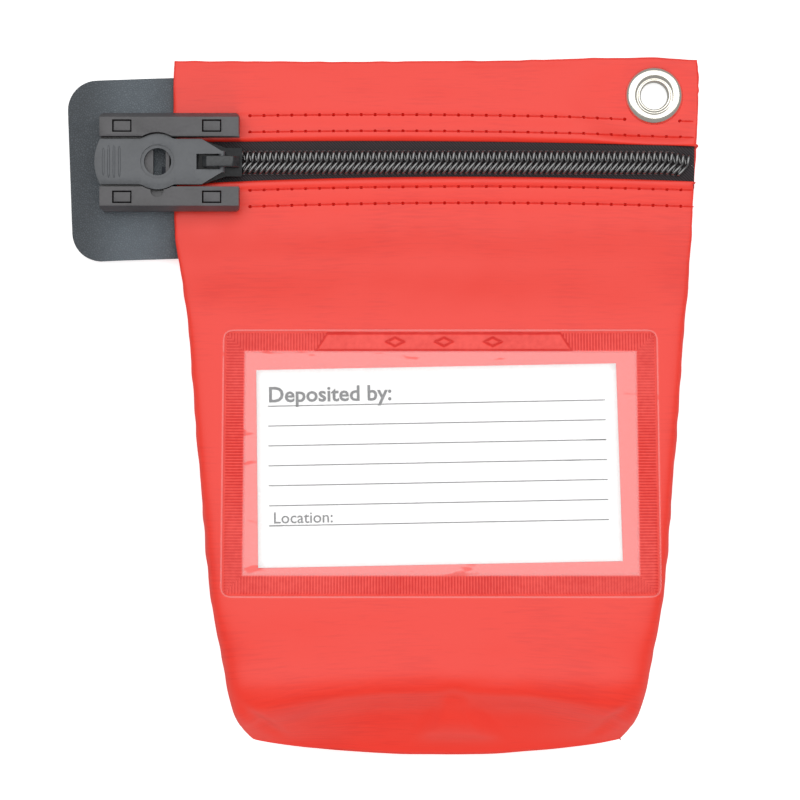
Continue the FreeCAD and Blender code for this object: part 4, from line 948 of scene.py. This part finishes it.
def weld_strip(along, half_long, sign, upright, fine):
    """One mitred side of the weld: ribs square to it, 0.85 mm apart, on a band with rolled edges."""
    d = np.linspace(0, BAND_WIDE, 34 if fine else 16)[:, None]
    run = np.linspace(-1, 1, int(2 * half_long / 0.13))[None, :]
    u = run * (half_long - d)
    profile = 0.42 * (1 - np.abs(2 * d / BAND_WIDE - 1) ** 7) - 0.02
    inner = ease(d, 0.35, 0.8) * (1 - ease(d, 5.6, 6.1))
    wave = 0.5 + 0.5 * np.cos(2 * PI * u / RIB_PITCH)
    # shade is painted shade, darker in the grooves between the ribs.
    lift, shade = profile + 0.17 * (wave - 0.5) * inner, 1 - (1 - wave) * inner + 0 * u
    if fine:
        flat, raised = plaque(u, d + 0 * u)
        lift = np.where(flat > 0.5, profile + 0.34 * raised - 0.10, lift)
        # On the plaque the painted shade is darkest along its raised outline and lozenges.
        shade = np.where(flat > 0.5, 0.8 - 0.85 * raised, shade)
    v = sign * (along - d) + 0 * u
    if upright:
        u, v = v, u
    u, v = round_corner(u, v, WELD_HALF, 2.4)
    x, y = on_slope(u, v)
    points = np.stack([x, y, front_height(x, y) + lift + 0.12, shade], axis=-1)
    if (sign > 0) == upright:
        points = points[::-1]
    return points


def joined_grids(grids):
    """Several grids as one set of points and faces."""
    points, faces, start = [], [], 0
    for grid in grids:
        points.append(grid.reshape(-1, grid.shape[2]))
        faces.append(grid_faces(*grid.shape[:2]) + start)
        start += grid.shape[0] * grid.shape[1]
    return np.concatenate(points), np.concatenate(faces)


def window_weld():
    """The four mitred sides of the weld, with the painted shade of the ribs kept for the finish."""
    wide, high = WELD_HALF
    grids = [weld_strip(high, wide, 1, False, True), weld_strip(high, wide, -1, False, False),
             weld_strip(wide, high, -1, True, False), weld_strip(wide, high, 1, True, False)]
    points, faces = joined_grids(grids)
    made = piece("window_weld_ribs", points[:, :3], faces, RIBS, "weld")
    height = made.data.attributes.new("rib_painted_shade", "FLOAT", "POINT")
    height.data.foreach_set("value", np.ascontiguousarray(points[:, 3], np.float32))
    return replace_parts(made, "window_weld")


def window_film():
    """The film: flat over the card, coming down onto the cloth under the weld, with a thin free lip."""
    lip = 0.5
    half = WELD_HALF + lip
    edges = np.array([0, 0.25, 0.7, 1.5, 3.0, 4.5, 5.7, 6.0, 6.3, 6.6, 6.9, 7.3])
    inner_u, inner_v = (np.linspace(-h + 7.6, h - 7.6, n) for h, n in zip(half, (70, 44)))
    u = np.concatenate([-half[0] + edges, inner_u, half[0] - edges[::-1]])
    v = np.concatenate([half[1] - edges, inner_v[::-1], -half[1] + edges[::-1]])
    u, v = np.meshgrid(u, v)
    inside = np.minimum(half[0] - np.abs(u), half[1] - np.abs(v)) - lip
    u, v = round_corner(u, v, half, 3.0)
    x, y = on_slope(u, v)
    lift = 0.10 + 0.95 * ease(inside, BAND_WIDE - 1.0, BAND_WIDE)
    bulge = 0.10 * waves(x, y, 17, 16, 40) * ease(inside, 8, 14)
    points = np.stack([x, y, front_height(x, y) + lift + np.maximum(bulge, -0.02)], axis=-1)
    made = piece("window_film_clear", points, grid_faces(*points.shape[:2]), FILM, "clear_film")
    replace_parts(made, "window_film")
    made.visible_shadow = False  # clear film shades nothing
    return thicken(made, 0.22)


window_weld()
window_film()


# ------------------ the card and its form
CARD_SPIN = math.radians(1.1)
CARD_MIDDLE = (CARD_LOW + CARD_HIGH)[:2] / 2 - [0, 1.5]  # it has slipped down in its pocket
CARD_SIZE = np.array([103.0, 57.0])  # its width and height
RULE_GAP = 5.75  # from rule to rule


def on_card(u, v, lift):
    """A spot on the card, u to the right and v up from its middle, lift above its face."""
    turned_u = u * math.cos(CARD_SPIN) - v * math.sin(CARD_SPIN)
    turned_v = u * math.sin(CARD_SPIN) + v * math.cos(CARD_SPIN)
    x, y = CARD_MIDDLE[0] + turned_u, CARD_MIDDLE[1] + turned_v * math.cos(LEAN)
    z = BROW_Z + (BROW_Y - y) * SLOPE + (0.40 + lift) / math.cos(LEAN)
    return np.stack(np.broadcast_arrays(x, y, z), axis=-1)


def card():
    """A sheet of card: a flat rectangle with square-cut edges."""
    half = CARD_SIZE / 2
    u, v = np.meshgrid(np.linspace(-half[0], half[0], 40), np.linspace(half[1], -half[1], 24))
    points = on_card(u, v, 0.0)
    made = piece("insert_card_board", points, grid_faces(*u.shape), CARD, "card", "card")
    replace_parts(made, "insert_card")
    return thicken(made, 0.25)


def form_rules():
    """Seven printed rules to write on, each a thin raised strip of ink."""
    top = CARD_SIZE[1] / 2 - 10.6
    along, edges = np.linspace(-48.3, 48.0, 60), np.array([0.15, -0.15])
    grids = [on_card(*np.meshgrid(along, top - RULE_GAP * i + edges), 0.03) for i in range(7)]
    made = piece("card_form_rules", *joined_grids(grids), RULE, "card", "card")
    return thicken(made, 0.04)


def form_word(name, text, size, left, base, weight):
    """A printed field name, set in the built-in face and laid on the card."""
    curve = bpy.data.curves.new(name, "FONT")
    curve.body, curve.size, curve.offset, curve.resolution_u = text, 1.0, weight, 3
    drawn = bpy.data.objects.new(name + "_outline", curve)
    bpy.context.scene.collection.objects.link(drawn)
    bpy.context.view_layer.update()
    flat = bpy.data.meshes.new_from_object(drawn.evaluated_get(bpy.context.evaluated_depsgraph_get()))
    spots = np.zeros(len(flat.vertices) * 3)
    flat.vertices.foreach_get("co", spots)
    spots = spots.reshape(-1, 3) * size
    faces = [list(p.vertices) for p in flat.polygons]
    bpy.data.objects.remove(drawn)
    points = on_card(left + spots[:, 0], base + spots[:, 1], 0.03)
    made = piece(name, points, faces, INK, "card", "card")
    return thicken(made, 0.04)


card()
form_rules()
form_word("card_field_name_top", "Deposited by:", 6.3, -48.3, CARD_SIZE[1] / 2 - 9.4, 0.020)
form_word("card_field_name_low", "Location:", 4.6, -47.2, -CARD_SIZE[1] / 2 + 12.6, 0.006)


# ------------------ the lock and the slider
moulded("lock_housing", 0.35, HOUSING, "bag")
moulded("lock_back_plate", 0.25, HOUSING, "bag")
moulded("pull_tab", 0.35, PULL, "pull")
moulded("slider_body", 0.3, SHADED_ENAMEL, "slider")
moulded("slider_bridge", 0.35, ENAMEL, "slider")
moulded("seal_catch", 0.08, SHADED_SPRING_STEEL, "bag")
moulded("zip_top_stops", 0.2, ENAMEL, "bag")


def pull_grip():
    """Moulded grip bars at the free end of the pull, each a low rounded bar across it."""
    x = PULL_LOW[0] + 2.6 + np.arange(4)[:, None] * 1.55
    half = np.array([4.2, 4.9, 4.9, 4.6])[:, None]
    steps = np.linspace(-1, 1, 15)
    path = np.stack(np.broadcast_arrays(x, ZIP_Y + half * steps, PULL_HIGH[2] - 0.05), axis=-1)
    end = (1 - np.abs(steps) ** 6) ** 0.5
    points, faces = tubes(path, 0.36 * end + 0.02, 0.24 * end + 0.02, 10)
    return piece("pull_grip_bars", points, faces, PULL, "pull_plastic", "pull")


pull_grip()


# ------------------ floor, light and camera
def studio():
    """A pale floor, a broad soft light overhead, and a camera straight above the bag."""
    floor_finish, tree, shader = finish_named("paper_floor", {
        "Roughness": 0.9, "Emission Color": (1, 1, 1, 1), "Emission Strength": 0.5})
    dyed(tree, shader, noise(tree, 40), "f6f6f6", "f9f9f9")
    mesh = bpy.data.meshes.new("floor")
    reach = 3.0
    mesh.from_pydata([(-reach, -reach, 0), (reach, -reach, 0), (reach, reach, 0), (-reach, reach, 0)], [],
                     [(0, 1, 2, 3)])
    mesh.materials.append(floor_finish)
    floor = bpy.data.objects.new("floor", mesh)
    floor.location.z = -0.0002
    bpy.context.scene.collection.objects.link(floor)
    floor.visible_glossy = False  # the base's sheen stays deep red

    def softbox(name, place, aim, wide, high, watts, mirrored=True):
        """A rectangular light aimed at a spot, seen in mirror-like surfaces only if mirrored."""
        lamp = bpy.data.lights.new(name, "AREA")
        lamp.shape, lamp.size, lamp.size_y, lamp.energy = "RECTANGLE", wide, high, watts
        made = bpy.data.objects.new(name, lamp)
        bpy.context.scene.collection.objects.link(made)
        made.location = place
        made.rotation_euler = (Vector(aim) - Vector(place)).to_track_quat("-Z", "Y").to_euler()
        made.visible_glossy = mirrored

    softbox("overhead_softbox", (0.0, 0.55, 1.35), (0, 0, 0), 3.2, 1.8, 24.6)
    softbox("base_fill", (0.1, -1.3, 0.8), (0, -0.05, 0), 0.9, 0.6, 7.3, mirrored=False)
    world = bpy.data.worlds.new("studio_air")
    bpy.context.scene.world = world
    world.use_nodes = True
    world.node_tree.nodes["Background"].inputs["Color"].default_value = (1, 1, 1, 1)
    world.node_tree.nodes["Background"].inputs["Strength"].default_value = 0.32

    camera = bpy.data.objects.new("camera", bpy.data.cameras.new("camera"))
    bpy.context.scene.collection.objects.link(camera)
    camera.location = (-0.0105, 0.0009, 0.8)
    camera.data.lens, camera.data.sensor_width = 122.8, 36
    bpy.context.scene.camera = camera
    bpy.context.scene.view_settings.view_transform = "Standard"


studio()
